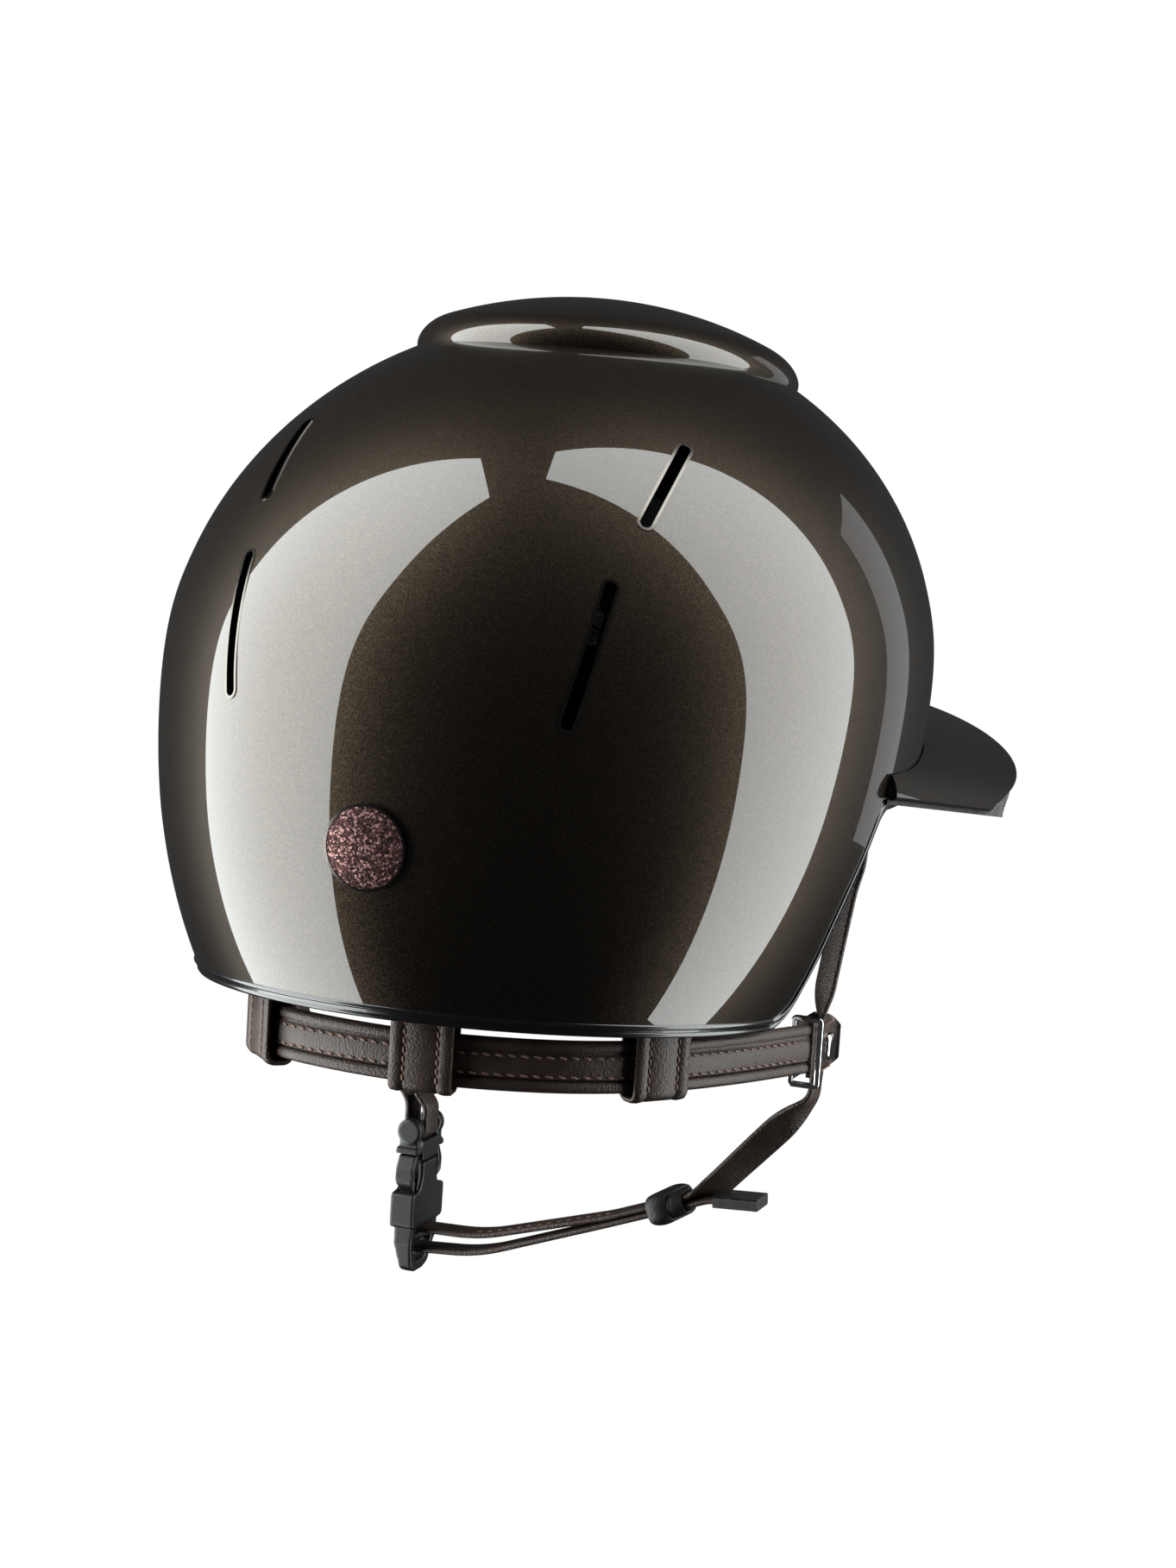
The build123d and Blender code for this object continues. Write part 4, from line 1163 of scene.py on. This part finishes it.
# Buckle strap: leather from the left junction, looped round the buckle's upper bar, its
# end sewn back on itself with a row up each side.
male_bar_z = -0.148
bar_wrap = 0.003
buckle_corners = [
    (left_junction, -0.1133),
    (left_junction - 0.0015, -0.120),
    (0.059, -0.1282),
    (0.0435, -0.1315),
    (buckle_x + bar_wrap, -0.1395),
    (buckle_x + bar_wrap, male_bar_z - bar_wrap),
    (buckle_x - bar_wrap, male_bar_z - bar_wrap),
    (buckle_x - bar_wrap, -0.141),
    (buckle_x + bar_wrap - strand_pitch - 0.0002, -0.1365),
]
buckle_radii = [0.007, 0.030, 0.012, 0.007, bar_wrap, bar_wrap, 0.004]
buckle_path = evenly(in_strap_plane(rounded(buckle_corners, buckle_radii)), 170)
buckle_strap = sweep("buckle_strap_leather", buckle_path, Vector((0, 1, 0)), strap_section)
dressed(buckle_strap, brown_leather, "buckle_strap")

# Sewing of the two straps: a row along the chin strap's upper strand, and a row up each
# side of the buckle strap.
strap_stitch = {"length": 0.0020, "thick": 0.0006}
stitch_pitch = 0.0032
stitch_lift = strap_thick * 0.47
strand = chin_path[int(len(chin_path) * 0.30) : int(len(chin_path) * 0.47)]
spots = []
for place, along in along_path(strand, stitch_pitch):
    out = Vector((0, 1, 0)).cross(along).normalized()
    out = out if out.z > 0 else -out
    spots.append((place + out * stitch_lift + Vector((0, 0.0028, 0)), along, out))
chin_thread = stitches("chin_strap_stitches", spots, tan_thread, body=None, **strap_stitch)
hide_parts("chin_strap")
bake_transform(chin_thread)
spots = []
sewn = buckle_path[: int(len(buckle_path) * 0.62)]
for place, along in along_path(sewn, stitch_pitch, 0.012, 0.004):
    out = Vector((0, 1, 0)).cross(along).normalized()
    out = out if out.x < 0 else -out
    for side in (-1, 1):
        spots.append((place + out * stitch_lift + Vector((0, side * 0.0034, 0)), along, out))
stitches("buckle_strap_stitches", spots, tan_thread, **strap_stitch)

# Buckle: satin black plastic with soft moulded edges. The male half has a round drum at
# each cheek for the strap and two bowed spring prongs; they run into the block of the
# female half, which tapers below into the frame that the chin strap wraps.
buckle_thick = 0.004
buckle_soft = 0.00034
drum_radius = 0.004
drum_inner = 0.006
drum_outer = 0.0098


def side_block(name, outline, half_thick, radii):
    """Solid of a side view given as (across, z), its corners rounded, on the buckle's plane."""
    line = rounded([outline[-1]] + outline + [outline[0]], radii, steps=5)[1:-1]
    points = []
    for side in (-1, 1):
        face_x = buckle_x + side * half_thick
        points += [Vector((face_x, strap_y + point.x, point.y)) for point in line]
    size = len(line)
    faces = [list(range(size)), list(range(size, 2 * size))[::-1]]
    faces += [[k, k + size, (k + 1) % size + size, (k + 1) % size] for k in range(size)]
    block = new_object(name, points, faces)
    outward(block)
    return block


def mirrored(outline):
    """Both sides of an outline whose given half runs down from the middle line."""
    return outline + [(-across, z) for across, z in reversed(outline)]


def bar(name, z, radius, inner, outer):
    """Round bar across the buckle, between two distances from its middle."""
    bpy.ops.object.select_all(action="DESELECT")
    bpy.ops.mesh.primitive_cylinder_add(
        radius=radius,
        depth=outer - inner,
        vertices=32,
        location=(buckle_x, strap_y + (inner + outer) / 2, z),
        rotation=(pi / 2, 0, 0),
    )
    piece = bpy.context.object
    piece.name = name
    bpy.ops.object.transform_apply(location=True, rotation=True, scale=True)
    return piece


def moulded(name, solids, cutters, node_name, body, voxel=buckle_soft):
    """Solids fused into one, cut, and softened at every edge like a moulding."""
    select_only(*solids)
    bpy.ops.object.join()
    piece = bpy.context.object
    piece.name = name
    apply_modifier(piece, "REMESH", mode="VOXEL", voxel_size=voxel)
    for cutter in cutters:
        carve(piece, cutter)
    apply_modifier(piece, "REMESH", mode="VOXEL", voxel_size=voxel)
    apply_modifier(piece, "SMOOTH", iterations=5, factor=0.5)
    piece.data.shade_smooth()
    dressed(piece, black_plastic, node_name, body)


male_half = [(0.0066, -0.1515), (0.0070, -0.1528), (0.0104, -0.1534)]
male_half += [(0.0104, -0.1551), (0.0062, -0.1551), (0.0062, -0.1576)]
male_outline = mirrored(male_half)
male_solids = [side_block("male_body", male_outline, buckle_thick - 0.0002, [0.0003] * 12)]
male_solids.append(bar("strap_bar", male_bar_z, 0.0018, -drum_inner - 0.001, drum_inner + 0.001))
for side in (-1, 1):
    ends = sorted((side * drum_inner, side * drum_outer))
    male_solids.append(bar("cheek_drum", male_bar_z, drum_radius, *ends))
    neck_end = ends[1] - side * 0.0006
    neck = [(ends[0], -0.148), (neck_end, -0.148), (neck_end, -0.1540), (ends[0], -0.1540)]
    male_solids.append(side_block("cheek_neck", neck, drum_radius * 0.8, [0.0002] * 4))
guide = [(-0.0018, -0.156), (0.0018, -0.156), (0.0018, -0.170), (-0.0018, -0.170)]
male_solids.append(side_block("guide", guide, 0.0019, [0.0004] * 4))
moulded("buckle_male_moulding", male_solids, [], "buckle_male", "root")

bow = [(0.0072, -0.1556), (0.0094, -0.1555), (0.0118, -0.1600), (0.0118, -0.1640)]
bow += [(0.0096, -0.1668), (0.0094, -0.1722), (0.0078, -0.1722), (0.0077, -0.1664)]
bow += [(0.0090, -0.1640), (0.0090, -0.1604)]
bow_radii = [0.0006, 0.0012, 0.003, 0.003, 0.0008, 0.0006, 0.0006, 0.002, 0.002, 0.002]
for name, side in (("front", -1), ("rear", 1)):
    outline = [(side * across, z) for across, z in bow]
    prong = side_block("prong_bow", outline, 0.0030, bow_radii)
    for vertex in prong.data.vertices:
        inside = min(1.0, max(0.0, (-0.1645 - vertex.co.z) / 0.002))
        vertex.co.x = buckle_x + (vertex.co.x - buckle_x) * (1 - 0.36 * inside)
    prong_node = "buckle_prong_" + name
    moulded(prong_node + "_moulding", [prong], [], prong_node, "prong_" + name, voxel=0.00028)


def both_ways(radii):
    """Corner radii of a mirrored outline, from those of its given half."""
    return radii + radii[::-1]


block_half = [(0.0058, -0.1582), (0.0054, -0.1625), (0.0070, -0.1668)]
block_half += [(0.0120, -0.1676), (0.0120, -0.1786)]
block_radii = both_ways([0.0008, 0.003, 0.002, 0.0012, 0.0014])
block = side_block("female_block", mirrored(block_half), buckle_thick, block_radii)
frame_half = [(0.0092, -0.1775), (0.0104, -0.1838), (0.0066, -0.1930), (0.0030, -0.1944)]
frame_radii = both_ways([0.001, 0.003, 0.003, 0.002])
lower_frame = side_block("lower_frame", mirrored(frame_half), buckle_thick * 0.84, frame_radii)
for vertex in lower_frame.data.vertices:
    taper = 1 - 0.42 * min(1.0, max(0.0, (-0.1790 - vertex.co.z) / 0.015))
    vertex.co.x = buckle_x + (vertex.co.x - buckle_x) * taper
hole_outline = mirrored([(0.0063, -0.1796), (0.0063, -0.1880), (0.0030, -0.1908)])
carve(lower_frame, side_block("frame_hole", hole_outline, 0.01, both_ways([0.0008, 0.002, 0.001])))
lower_bar = bar("lower_bar", lower_bar_z, 0.0017, -0.0082, 0.0082)
cavity_outline = [(-0.01, -0.150), (0.01, -0.150), (0.01, -0.1755), (-0.01, -0.1755)]
cavity = side_block("cavity", cavity_outline, 0.0024, [0.0003] * 4)
female_solids = [block, lower_frame, lower_bar]
moulded("buckle_female_moulding", female_solids, [cavity], "buckle_female", "buckle_female")
